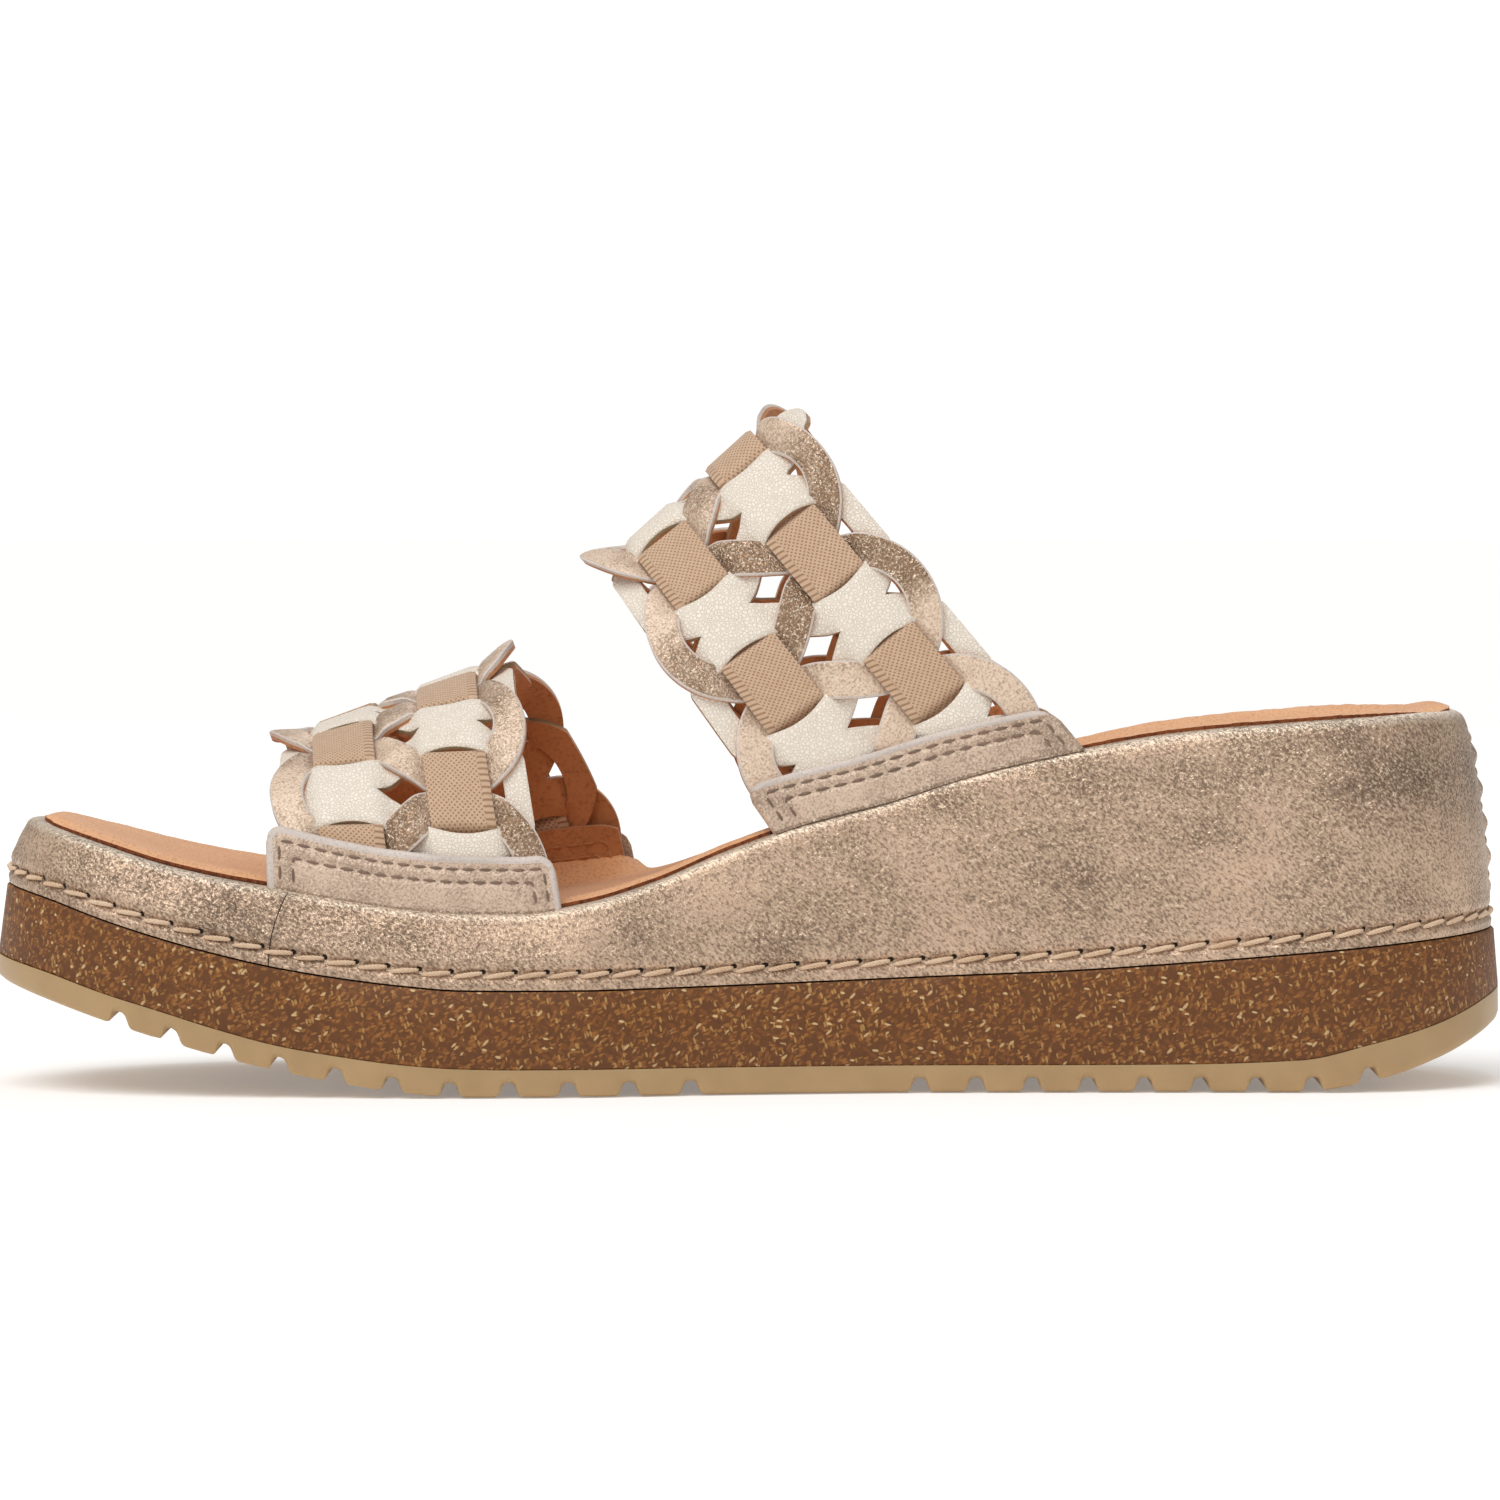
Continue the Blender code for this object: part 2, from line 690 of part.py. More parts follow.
def build_band(name, form, side):
    start = BAND_HALF - BAND_CORNER
    corner = [start + BAND_CORNER * math.sin(math.radians(turn)) for turn in BAND_CORNER_DEGREES]
    columns = corner + list(np.linspace(start, -start, BAND_COLUMNS)) + [-v for v in corner[::-1]]
    bm = bmesh.new()
    grid = []
    for v in columns:
        top = band_height(v)
        around = (
            (BAND_LIFT, BAND_INNER),
            (BAND_LIFT, BAND_OUTER),
            (top / 2, BAND_OUTER),
            (top - BAND_EDGE, BAND_OUTER),
            (top, BAND_OUTER - BAND_EDGE),
            (top, BAND_INNER),
            (top / 2, BAND_INNER),
        )
        row = []
        for up, height in around:
            row.append(bm.verts.new(form.point(form.foot_u(v, side) - side * up, v, height)))
        grid.append(row)
    for one, two in zip(grid, grid[1:]):
        for k in range(len(one)):
            j = (k + 1) % len(one)
            bm.faces.new((one[k], one[j], two[j], two[k]))
    bm.faces.new(grid[0])
    bm.faces.new(grid[-1][::-1])
    add_object(name, bm, "band_leather")


for old in list(bpy.data.objects):
    bpy.data.objects.remove(old, do_unlink=True)

build_sole()
build_wedge()
build_insole()
for strap_name, strap_sizes in STRAPS.items():
    strap_form = build_strap(strap_name, strap_sizes)
    build_band(f"{strap_name}_band_medial", strap_form, -1)
    build_band(f"{strap_name}_band_lateral", strap_form, 1)
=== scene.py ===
# %% [markdown]
# # A wedge mule with two woven straps
# The shoe is a right mule. From the floor up it is a honey rubber outsole, a layer of cork
# composite, a wedge wrapped in champagne foil leather, a tan suede insole, and two straps.
# Each strap is woven from two leather nets, one cream and one champagne, that elastic tapes hold
# together. This lesson dresses the plain solids: every layer is modelled again with more points,
# on the same forms, and gets its stitches, seams and finish.

# %% The frame
import math
from functools import partial

import bmesh
import bpy
import numpy as np
from bmesh.types import BMFace, BMVert
from mathutils.geometry import delaunay_2d_cdt
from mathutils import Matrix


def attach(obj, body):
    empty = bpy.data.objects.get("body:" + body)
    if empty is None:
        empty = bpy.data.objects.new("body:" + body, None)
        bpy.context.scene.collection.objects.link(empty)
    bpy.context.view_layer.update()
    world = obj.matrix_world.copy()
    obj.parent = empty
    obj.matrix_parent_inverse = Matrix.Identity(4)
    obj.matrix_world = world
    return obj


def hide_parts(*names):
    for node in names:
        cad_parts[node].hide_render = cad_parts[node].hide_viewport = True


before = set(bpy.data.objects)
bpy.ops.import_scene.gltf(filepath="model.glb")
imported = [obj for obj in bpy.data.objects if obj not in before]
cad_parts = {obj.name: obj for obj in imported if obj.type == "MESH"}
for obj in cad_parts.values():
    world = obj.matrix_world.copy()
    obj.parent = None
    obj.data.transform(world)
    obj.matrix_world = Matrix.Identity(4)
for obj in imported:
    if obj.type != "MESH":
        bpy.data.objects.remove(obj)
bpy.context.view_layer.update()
MM = 0.001
FULL_TURN = 2 * math.pi
print("solids:", sorted(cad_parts))

# %% [markdown]
# ## The form of the sole
# A shoemaker draws a sole twice: its outline from above and its layer lines from the side. Both
# are short tables here, in millimetres, with a smooth curve through each column. A curve that
# never overshoots keeps the tread level where the table is level. Every ring round the sole is
# then the plan outline moved inwards, at the height of a layer line.

# %% Outline and layer lines
LENGTH = 256.0
GAP = 0.3
TOE_REACH = 48.0
HEEL_REACH = 33.0
END_POWER = 2.2
WALL_TOP_INSET = 8.2
CUP_REACH = 18.0
TINY = 1e-9
PLAN_COLUMNS = ("station", "axis", "medial", "lateral")
PLAN = (
    (0, -9.0, 37.0, 40.0),
    (25, -5.5, 38.5, 41.5),
    (50, -2.0, 42.0, 44.0),
    (75, 0.0, 45.5, 46.5),
    (95, 0.0, 44.5, 47.0),
    (125, 0.0, 38.0, 44.5),
    (160, 0.0, 33.5, 38.5),
    (195, 0.0, 33.0, 36.0),
    (225, 0.0, 33.5, 35.0),
    (256, 0.0, 33.5, 34.5),
)
PROFILE_COLUMNS = ("station", "tread", "cork_foot", "cork_top", "rim", "lateral_drop", "cup")
PROFILE = (
    (0, 18.7, 22.2, 34.6, 47.1, 0.0, 0.4),
    (10, 15.6, 19.8, 32.2, 44.2, 0.0, 0.5),
    (20, 12.4, 16.6, 28.9, 41.2, 0.0, 0.6),
    (30, 9.4, 13.7, 25.9, 38.2, 0.0, 0.7),
    (40, 6.6, 10.7, 23.3, 36.0, 0.0, 0.8),
    (50, 4.2, 8.1, 21.1, 34.3, 0.0, 0.9),
    (60, 2.3, 6.4, 19.5, 32.6, 0.0, 1.0),
    (70, 0.8, 5.1, 18.3, 31.2, 0.0, 1.0),
    (80, 0.0, 4.4, 17.5, 30.4, 0.0, 1.0),
    (90, 0.0, 4.2, 17.4, 30.3, 0.3, 1.0),
    (100, 0.0, 4.2, 17.4, 31.7, 1.0, 1.0),
    (112, 0.0, 4.2, 17.6, 35.2, 2.4, 0.9),
    (124, 0.0, 4.2, 17.9, 40.2, 3.5, 0.9),
    (136, 0.0, 4.2, 18.3, 44.4, 3.9, 1.0),
    (150, 0.0, 4.2, 18.8, 48.1, 3.5, 1.2),
    (165, 0.0, 4.2, 19.4, 52.9, 2.6, 1.6),
    (180, 0.0, 4.2, 20.0, 56.4, 1.5, 2.0),
    (200, 0.0, 4.3, 21.3, 59.9, 0.4, 2.5),
    (220, 0.0, 5.0, 22.9, 61.7, 0.0, 2.8),
    (232, 1.7, 7.6, 24.0, 62.5, 0.0, 2.8),
    (244, 5.4, 10.9, 25.1, 63.1, 0.0, 2.4),
    (256, 11.0, 16.0, 26.2, 63.0, 0.0, 2.0),
)


def ease(x):
    """A smooth step from 0 to 1."""
    x = np.clip(x, 0, 1)
    return x * x * (3 - 2 * x)


def bell(offset, width):
    """A smooth bump: 1 in its middle, and nearly 0 two widths away."""
    return np.exp(-((offset / width) ** 2))


def unit(vectors):
    """The same directions with a length of 1."""
    return vectors / np.maximum(np.linalg.norm(vectors, axis=-1, keepdims=True), TINY)


def run_along(path):
    """The way walked along a path, at each of its points."""
    return np.concatenate([[0], np.cumsum(np.linalg.norm(np.diff(path, axis=0), axis=1))])


def smooth_curve(at, value):
    """A cubic through the points that never overshoots."""
    at = np.asarray(at, float)
    value = np.asarray(value, float)
    step = np.diff(at)
    slope = np.diff(value) / step
    before = slope[:-1]
    after = slope[1:]
    rising = before * after > 0
    tangent = np.concatenate([slope[:1], np.zeros(len(at) - 2), slope[-1:]])
    tangent[1:-1][rising] = (2 * before * after)[rising] / (before + after)[rising]

    def curve(place):
        place = np.clip(place, at[0], at[-1])
        i = np.clip(np.searchsorted(at, place, side="right") - 1, 0, len(step) - 1)
        f = (place - at[i]) / step[i]
        start = (1 + 2 * f) * (1 - f) ** 2 * value[i] + f * (1 - f) ** 2 * step[i] * tangent[i]
        end = f * f * (3 - 2 * f) * value[i + 1] - f * f * (1 - f) * step[i] * tangent[i + 1]
        return start + end

    return curve


def table_curves(columns, rows):
    table = np.array(rows, float)
    return {name: smooth_curve(table[:, 0], table[:, k]) for k, name in enumerate(columns) if k}


plan = table_curves(PLAN_COLUMNS, PLAN)
profile = table_curves(PROFILE_COLUMNS, PROFILE)


def end_round(distance, reach):
    inside = 1 - np.clip(distance / reach, 0, 1)
    return (1 - inside**END_POWER) ** (1 / END_POWER)


def station_of(turn):
    return LENGTH * (1 - np.cos(turn)) / 2


def turn_of(station, side=-1):
    turn = np.arccos(np.clip(1 - 2 * station / LENGTH, -1, 1))
    return turn if side < 0 else FULL_TURN - turn


def side_of(turn):
    return np.where(turn <= math.pi, -1.0, 1.0)


def plan_edge(turn):
    """The outline from above: toe at 0, then the medial side, heel at pi, then the lateral side."""
    station = station_of(turn)
    side = side_of(turn)
    breadth = np.where(side < 0, plan["medial"](station), plan["lateral"](station))
    ends = end_round(station, TOE_REACH) * end_round(LENGTH - station, HEEL_REACH)
    return np.stack([station - LENGTH / 2, plan["axis"](station) + side * breadth * ends], -1)


WIDEST = plan_edge(np.linspace(0, FULL_TURN, 800))[:, 1]
MIDDLE = (WIDEST.min() + WIDEST.max()) / 2


def ring(turn, inset):
    """The outline moved inwards along its own normal, with its middle on Y = 0."""
    nudge = 1e-3
    along = unit(plan_edge((turn + nudge) % FULL_TURN) - plan_edge((turn - nudge) % FULL_TURN))
    inward = np.stack([-along[..., 1], along[..., 0]], -1)
    return plan_edge(turn) + np.asarray(inset)[..., None] * inward - np.array([0, MIDDLE])


def rim_height(station, side):
    return profile["rim"](station) - np.where(side > 0, profile["lateral_drop"](station), 0)


def footbed(flat):
    """Height of the wedge's top: level with the rim at its edge, and cupped inside it."""
    y = flat[..., 1]
    station = np.clip(flat[..., 0] + LENGTH / 2, 0, LENGTH)
    low = plan_edge(turn_of(station))[..., 1] - MIDDLE + WALL_TOP_INSET
    high = plan_edge(turn_of(station, 1))[..., 1] - MIDDLE - WALL_TOP_INSET
    share = np.clip((y - low) / np.maximum(high - low, TINY), 0, 1)
    rim = (1 - share) * rim_height(station, -1) + share * rim_height(station, 1)
    ends = np.minimum(station - WALL_TOP_INSET, LENGTH - WALL_TOP_INSET - station)
    reach = np.clip(np.minimum(np.minimum(y - low, high - y), ends) / CUP_REACH, 0, 1)
    return rim - profile["cup"](station) * (1 - (1 - reach) ** 2)


print("outline:", np.round(WIDEST.max() - WIDEST.min(), 1), "mm wide,", LENGTH, "mm long")

# %% [markdown]
# ## Turning a bmesh into a piece
# All modelling is done in millimetres, because the tables are. One function closes a piece: it
# scales the mesh to metres, points its faces outwards, shades it smooth with sharp corners, gives
# it its finishes, and lets it ride on the shoe's only body. A sole layer is a stack of rings, each
# pulled out of the last one, and a strip is a grid pulled up into a slab.


# %% Helpers for pieces
def add_piece(name, bm, finishes, stands_for=(), sharp=42.0):
    bmesh.ops.scale(bm, vec=(MM, MM, MM), verts=bm.verts)
    bmesh.ops.recalc_face_normals(bm, faces=bm.faces)
    mesh = bpy.data.meshes.new(name)
    bm.to_mesh(mesh)
    bm.free()
    mesh.shade_smooth()
    mesh.set_sharp_from_angle(angle=math.radians(sharp))
    for finish in finishes:
        mesh.materials.append(finish)
    piece = bpy.data.objects.new(name, mesh)
    bpy.context.scene.collection.objects.link(piece)
    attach(piece, "root")
    if stands_for:
        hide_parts(*stands_for)
    print(name, len(mesh.polygons), "faces")


def place(verts, points):
    for vert, point in zip(verts, points):
        vert.co = point


def made_parts(made, kind):
    """The new points or faces that a bmesh operator gives back."""
    return [part for part in made["geom"] if isinstance(part, kind)]


def loop_edges(bm, loop, closed=True):
    ends = loop[1:] + loop[:1] if closed else loop[1:]
    return [bm.edges.get(pair) for pair in zip(loop, ends)]


def first_ring(bm, points):
    loop = bmesh.ops.create_circle(bm, segments=len(points), radius=1)["verts"]
    place(loop, points)
    return loop


def next_ring(bm, loop, points):
    """Pulls a new ring out of the last one, and moves it to its place."""
    made = bmesh.ops.extrude_edge_only(bm, edges=loop_edges(bm, loop))
    fresh = set(made_parts(made, BMVert))
    above = []
    for vert in loop:
        above += [edge.other_vert(vert) for edge in vert.link_edges if edge.other_vert(vert) in fresh]
    place(above, points)
    return above


def close_across(bm, loop):
    """Closes a ring of the sole with straight rungs from its medial to its lateral half."""
    half = len(loop) // 2
    edges = loop_edges(bm, loop[1:half], False) + loop_edges(bm, loop[:half:-1], False)
    bmesh.ops.bridge_loops(bm, edges=edges)
    bmesh.ops.contextual_create(bm, geom=[loop[-1], loop[0], loop[1]])
    bmesh.ops.contextual_create(bm, geom=[loop[half - 1], loop[half], loop[half + 1]])


def stack_rings(bm, rings):
    """A layer of the sole from its rings, closed at its top and bottom."""
    loops = [first_ring(bm, rings[0])]
    for points in rings[1:]:
        loops.append(next_ring(bm, loops[-1], points))
    close_across(bm, loops[-1])
    close_across(bm, loops[0])
    return loops


def slab(bm, steps, shape):
    """A grid pulled up into a slab. The shape turns two shares from 0 to 1 into points."""
    layers = bm.verts.layers.float
    share_s = layers.get("share_s") or layers.new("share_s")
    share_t = layers.get("share_t") or layers.new("share_t")
    lower = bmesh.ops.create_grid(bm, x_segments=steps[0], y_segments=steps[1], size=1)["verts"]
    for vert in lower:
        vert[share_s] = (vert.co.x + 1) / 2
        vert[share_t] = (vert.co.y + 1) / 2
    lower_faces = list({face for vert in lower for face in vert.link_faces})
    made = bmesh.ops.extrude_face_region(bm, geom=lower_faces)
    upper = made_parts(made, BMVert)
    for verts, on_top in ((lower, False), (upper, True)):
        s = np.array([vert[share_s] for vert in verts])
        t = np.array([vert[share_t] for vert in verts])
        place(verts, shape(s, t, on_top))
    top_faces = made_parts(made, BMFace)
    walls = {face for vert in upper for face in vert.link_faces} - set(top_faces)
    return top_faces, walls


# %% [markdown]
# ## Tools for finishes
# A finish is a tree of nodes on one Principled shader. One function turns the colours, written as
# sRGB hex, into the linear values that the shader wants. One function adds a node and links it.
# A small class keeps short names for the nodes that come back in every finish. The patterns read
# Object coordinates, which are metres, so a grain of 0.6 mm has a scale of 1000 / 0.6.


# %% Helpers for finishes
def colour(hex_code):
    channels = [int(hex_code[k : k + 2], 16) / 255 for k in (1, 3, 5)]
    linear = [c / 12.92 if c <= 0.04045 else ((c + 0.055) / 1.055) ** 2.4 for c in channels]
    return (*linear, 1.0)


def add(tree, kind, inputs, output=0, **settings):
    """Adds a node, sets or links its inputs, and returns one of its outputs."""
    made = tree.nodes.new("ShaderNode" + kind)
    for name, value in settings.items():
        setattr(made, name, value)
    for name, value in inputs.items():
        if isinstance(value, bpy.types.NodeSocket):
            tree.links.new(value, made.inputs[name])
        else:
            made.inputs[name].default_value = value
    return made.outputs[output]


class Finish:
    """A material with its shader's constants set, to which nodes are added one by one."""

    def __init__(self, name, **constants):
        self.material = bpy.data.materials.new(name)
        self.material.use_nodes = True
        self.tree = self.material.node_tree
        self.shader = self.tree.nodes["Principled BSDF"]
        for socket, value in constants.items():
            self.shader.inputs[socket.replace("_", " ")].default_value = value
        self.spot = add(self.tree, "TexCoord", {}, "Object")

    def attribute(self, name):
        return add(self.tree, "Attribute", {}, "Fac", attribute_name=name)

    def turned(self, scale, rotation=(0.0, 0.0, 0.0), kind="TEXTURE"):
        """The object's coordinates, turned and stretched."""
        inputs = {"Vector": self.spot, "Rotation": rotation, "Scale": scale}
        return add(self.tree, "Mapping", inputs, vector_type=kind)

    def pattern(self, kind, size_mm, output, at=None, inputs=(), **settings):
        where = {"Vector": self.spot if at is None else at, "Scale": 1000.0 / size_mm}
        return add(self.tree, kind, where | dict(inputs), output, **settings)

    def noise(self, size_mm, detail=2.0, roughness=0.5, distortion=0.0, at=None, output="Fac"):
        inputs = {"Detail": detail, "Roughness": roughness, "Distortion": distortion}
        return self.pattern("TexNoise", size_mm, output, at, inputs)

    def maths(self, operation, *values):
        return add(self.tree, "Math", dict(enumerate(values)), operation=operation)

    def remap(self, value, low, high, to_low=0.0, to_high=1.0):
        """Stretches one range of values over another, and stops at its ends."""
        ranges = {"From Min": low, "From Max": high, "To Min": to_low, "To Max": to_high}
        return add(self.tree, "MapRange", {"Value": value} | ranges)

    def mix(self, share, first, second):
        """A mix of two tones, each a hex colour or an output of another node."""
        tones = [colour(tone) if isinstance(tone, str) else tone for tone in (first, second)]
        return add(self.tree, "Mix", {0: share, 6: tones[0], 7: tones[1]}, 2, data_type="RGBA")

    def link(self, **outputs):
        for socket, value in outputs.items():
            self.tree.links.new(value, self.shader.inputs[socket.replace("_", " ")])

    def close(self, tone, height, strength, depth_mm, invert=False):
        """Links the colour and the relief, and hands out the material."""
        inputs = {"Height": height, "Strength": strength, "Distance": depth_mm * MM}
        bump = add(self.tree, "Bump", inputs, "Normal", invert=invert)
        self.link(Base_Color=tone, Normal=bump)
        print("finish:", self.material.name)
        return self.material


# %% [markdown]
# ## Champagne foil leather
# The wedge, the bands and one net of each strap are leather with a champagne foil pressed on and
# rubbed back. A large noise lets the ground drift from matt champagne to bronze, and an attribute
# adds bronze clouds at listed places: worn foil, and painted shade and light. One fine noise,
# brushed slantwise, gives dark pits at its top and painted glints at its bottom. Folded lines
# break up the bronze places with relief and more painted glints, and a second attribute paints
# the wedge's top edge pale: partly worn foil, partly a painted highlight.

# %% Foil leather
DRIFT_MM = 15.0
SPECK_MM = 0.4
FOLD_MM = 1.9
BRUSH_TILT = 0.7
CREASE_WIDTH = 0.06
MORE_PITS_WHERE_BRONZE = 0.11
# Painted glints: pale specks of the fine noise, more of them along the creases.
MORE_GLINTS_ON_CREASES = -0.12
CREASE_RELIEF = 0.8
PITS_FROM = (0.5, 0.68)
GLINTS_FROM = (0.44, 0.3)
GLOSS = (0.3, 0.7, 0.26, 0.55)
# The wedge's pale top edge: partly worn foil, partly a painted highlight.
RIM_HIGHLIGHT_TONE = "#f4e4ce"


def foil_leather(name, tones, clouds, metal, pit_share, glint_share, brush=1.0):
    """Tones are the matt ground, the bronze of worn and shaded places, the pits, and painted glints."""
    finish = Finish(name, IOR=1.5)
    matt, bronze, pit, glint = tones
    drift = finish.noise(DRIFT_MM, detail=5.0, roughness=0.66)
    # Bronze from the noise and from listed clouds: worn foil, and painted shade and light.
    worn_and_shaded = finish.remap(finish.maths("ADD", drift, finish.attribute("wear_and_shade")), *clouds)
    brushed = finish.turned((brush, 1.0, 1.0), (0.0, BRUSH_TILT, 0.0))
    fine = finish.noise(SPECK_MM, roughness=0.6, at=brushed)
    fold = finish.maths("SUBTRACT", finish.noise(FOLD_MM, distortion=1.5), 0.5)
    crease = finish.remap(finish.maths("ABSOLUTE", fold), 0.0, CREASE_WIDTH, 1.0, 0.0)
    crinkle = finish.maths("MULTIPLY", crease, worn_and_shaded)
    ground = finish.mix(worn_and_shaded, matt, bronze)
    # Painted highlight along the wedge's top edge, partly worn foil.
    rim_lit = finish.mix(finish.attribute("rim"), ground, RIM_HIGHLIGHT_TONE)
    thick = finish.maths("MULTIPLY_ADD", worn_and_shaded, MORE_PITS_WHERE_BRONZE, fine)
    pitted = finish.mix(finish.remap(thick, *PITS_FROM, 0.0, pit_share), rim_lit, pit)
    # Painted glints of the foil: pale specks where the fine noise is low, and along the creases.
    glinting = finish.maths("MULTIPLY_ADD", crinkle, MORE_GLINTS_ON_CREASES, fine)
    toned = finish.mix(finish.remap(glinting, *GLINTS_FROM, 0.0, glint_share), pitted, glint)
    finish.link(Metallic=finish.remap(worn_and_shaded, 0.0, 1.0, *metal), Roughness=finish.remap(fine, *GLOSS))
    relief = finish.maths("MULTIPLY_ADD", crinkle, CREASE_RELIEF, fine)
    return finish.close(toned, relief, strength=0.5, depth_mm=0.4)


# On the wedge the eye gets a speckled, cloudy metal that shines softly, darkens in listed clouds
# (painted shade at the toe), and shows painted glints and a painted highlight along its top edge.
wedge_tones = ("#d7b79b", "#a78c75", "#5a4a3d", "#f2dfc5")
wedge_foil = foil_leather(
    "champagne foil leather", wedge_tones, (0.36, 0.92), (0.35, 0.7), 0.68, 0.45, brush=1.7
)

# %% [markdown]
# ## Cork composite
# The layer under the wedge is ground cork and wood chips bound in brown rubber, cut to shape. The
# cut shows a dark brown ground with soft golden flecks, and a few pale splinters that lie every
# way. Six layers of stretched cells, each turned another way, give the flecks and splinters, and a
# random number of each cell decides whether it shows.

# %% Cork
# Tilt, size in millimetres, tone, and how rare the chips are.
CORK_CHIPS = (
    (0.5, 1.9, "#7b491a", 0.4),
    (2.0, 1.6, "#8a5522", 0.5),
    (2.8, 1.2, "#9a662e", 0.6),
    (1.3, 1.2, "#b0854b", 0.84),
    (0.2, 1.2, "#d6b887", 0.97),
    (2.4, 1.4, "#cfae7c", 0.965),
)
CRUMB_MM = 1.2
CHIP_STRETCH = (1.0, 0.45, 0.4)
CHIP_EDGE = (0.95, 0.79)
CHIP_RAGGED = 0.9
CHIP_SHARE = 0.85


def cork_composite():
    finish = Finish("cork composite", Roughness=0.62, IOR=1.45)
    soft = finish.noise(CRUMB_MM, detail=4.0, roughness=0.7)
    blended = finish.mix(soft, "#4a270c", "#7a491c")
    for tilt, chip_mm, tone, rarity in CORK_CHIPS:
        turned = finish.turned(CHIP_STRETCH, (0.3, tilt, 0.2))
        chip = finish.pattern("TexVoronoi", chip_mm, "Distance", turned)
        body = finish.remap(finish.maths("MULTIPLY_ADD", soft, CHIP_RAGGED, chip), *CHIP_EDGE)
        number = add(finish.tree, "SeparateColor", {0: chip.node.outputs["Color"]})
        shown = finish.maths("MULTIPLY", body, finish.maths("GREATER_THAN", number, rarity))
        blended = finish.mix(finish.maths("MULTIPLY", shown, CHIP_SHARE), blended, tone)
    return finish.close(blended, soft, strength=0.3, depth_mm=0.3)


# The eye gets a warm dark crumb, dull all over, with a few pale splinters that catch the light.
cork = cork_composite()

# %% [markdown]
# ## Honey rubber
# The outsole is moulded from a pale, slightly see-through crepe rubber. Light goes a little way
# into it, so some subsurface light is mixed in, and its skin has a satin sheen with a faint
# cloudiness from one large noise.


# %% Rubber
def honey_rubber():
    depths = {"Subsurface_Weight": 0.25, "Subsurface_Radius": (0.004, 0.0025, 0.0012)}
    finish = Finish("honey crepe rubber", Roughness=0.42, IOR=1.52, Subsurface_Scale=1.0, **depths)
    cloud = finish.noise(size_mm=9.0, detail=4.0)
    return finish.close(finish.mix(cloud, "#bd9d70", "#a3845a"), cloud, strength=0.1, depth_mm=0.2)


# The eye gets a milky honey colour with a satin gloss, and edges that glow a little.
rubber = honey_rubber()

# %% [markdown]
# ## Suedes, cut edges, threads and cream leather
# These finishes differ in colour, grain and gloss, so one function makes most of them: a ground
# that drifts between two tones, pits of a third tone, and a relief of the grain's own size. The
# footbed's nap is brushed, so its grain is stretched one way. The cream leather has a pebble of its
# own: bent cells with thin valleys between them, painted darker as painted shade.

# %% Grained finishes
EVEN_PITS = (0.5, 0.7, 0.5)
PEBBLE_MM = 0.6
PEBBLE_BEND = (0.0012, 0.0012, 0.0012)


def grained_finish(name, tones, grain_mm, pits, relief_mm, nap=(1.0, 1.0, 1.0), **constants):
    finish = Finish(name, **constants)
    drift = finish.remap(finish.noise(size_mm=12.0, detail=3.0), low=0.32, high=0.68)
    ground = finish.mix(drift, tones[0], tones[1])
    grain = finish.noise(grain_mm, detail=3.0, roughness=0.65, at=finish.turned(nap, kind="POINT"))
    low, high, share = pits
    toned = finish.mix(finish.remap(grain, low, high, 0.0, share), ground, tones[2])
    return finish.close(toned, grain, strength=0.5, depth_mm=relief_mm)


def pebbled_leather():
    finish = Finish("cream pebbled leather", Roughness=0.5, IOR=1.45)
    ground = finish.mix(finish.noise(size_mm=14.0, detail=3.0), "#fbf2e5", "#f1e5d5")
    bend = {0: finish.noise(size_mm=3.0, output="Color"), 1: PEBBLE_BEND, 2: finish.spot}
    bent = add(finish.tree, "VectorMath", bend, operation="MULTIPLY_ADD")
    pebble = finish.pattern("TexVoronoi", PEBBLE_MM, "Distance", bent, feature="DISTANCE_TO_EDGE")
    # The valleys between the cells are painted darker: painted shade.
    shaded_valley = finish.remap(pebble, low=0.02, high=0.2, to_low=0.3, to_high=0.0)
    toned = finish.mix(shaded_valley, ground, "#ab9272")
    return finish.close(toned, shaded_valley, strength=0.8, depth_mm=0.3, invert=True)


# The footbed takes light softly and never shines. Its brushed nap leaves darker strokes.
suede_tones = ("#f2b580", "#eaaa73", "#935224")
soft_nap = {"nap": (1.0, 0.35, 1.0), "Sheen_Weight": 0.3, "Sheen_Roughness": 0.5}
suede = grained_finish(
    "tan suede", suede_tones, 0.45, (0.48, 0.7, 0.5), 0.35, Roughness=0.95, **soft_nap
)
# Its torn edge is a dark, rough brown line.
torn_tones = ("#7a3d1b", "#99552b", "#4f230e")
torn_suede = grained_finish("torn suede edge", torn_tones, 0.7, (0.45, 0.65, 0.8), 0.5, Roughness=1.0)
# The lining is a darker suede, warm rust in the shade of the straps.
lining_tones = ("#c98b5b", "#b6794b", "#875230")
lining_suede = grained_finish(
    "rust suede lining", lining_tones, 0.8, (0.5, 0.72, 0.6), 0.3, Roughness=0.95, Sheen_Weight=0.2
)
# Cut leather is chalky and pale, and draws a fine line round each strip. On the champagne strips
# that line is partly the cut edge and partly a painted highlight on the lit edge.
cut_tones = ("#dfd2c9", "#cdc0b6", "#9a8c82")
cut_edge = grained_finish("cut leather edge", cut_tones, 0.4, EVEN_PITS, 0.15, Roughness=0.9)
# The cut edge of the cream leather is darker, so that it reads as a shadow line.
cream_cut_tones = ("#a8977a", "#928264", "#6c5d42")
cream_edge = grained_finish(
    "cut edge of cream leather", cream_cut_tones, 0.4, EVEN_PITS, 0.15, Roughness=0.9
)
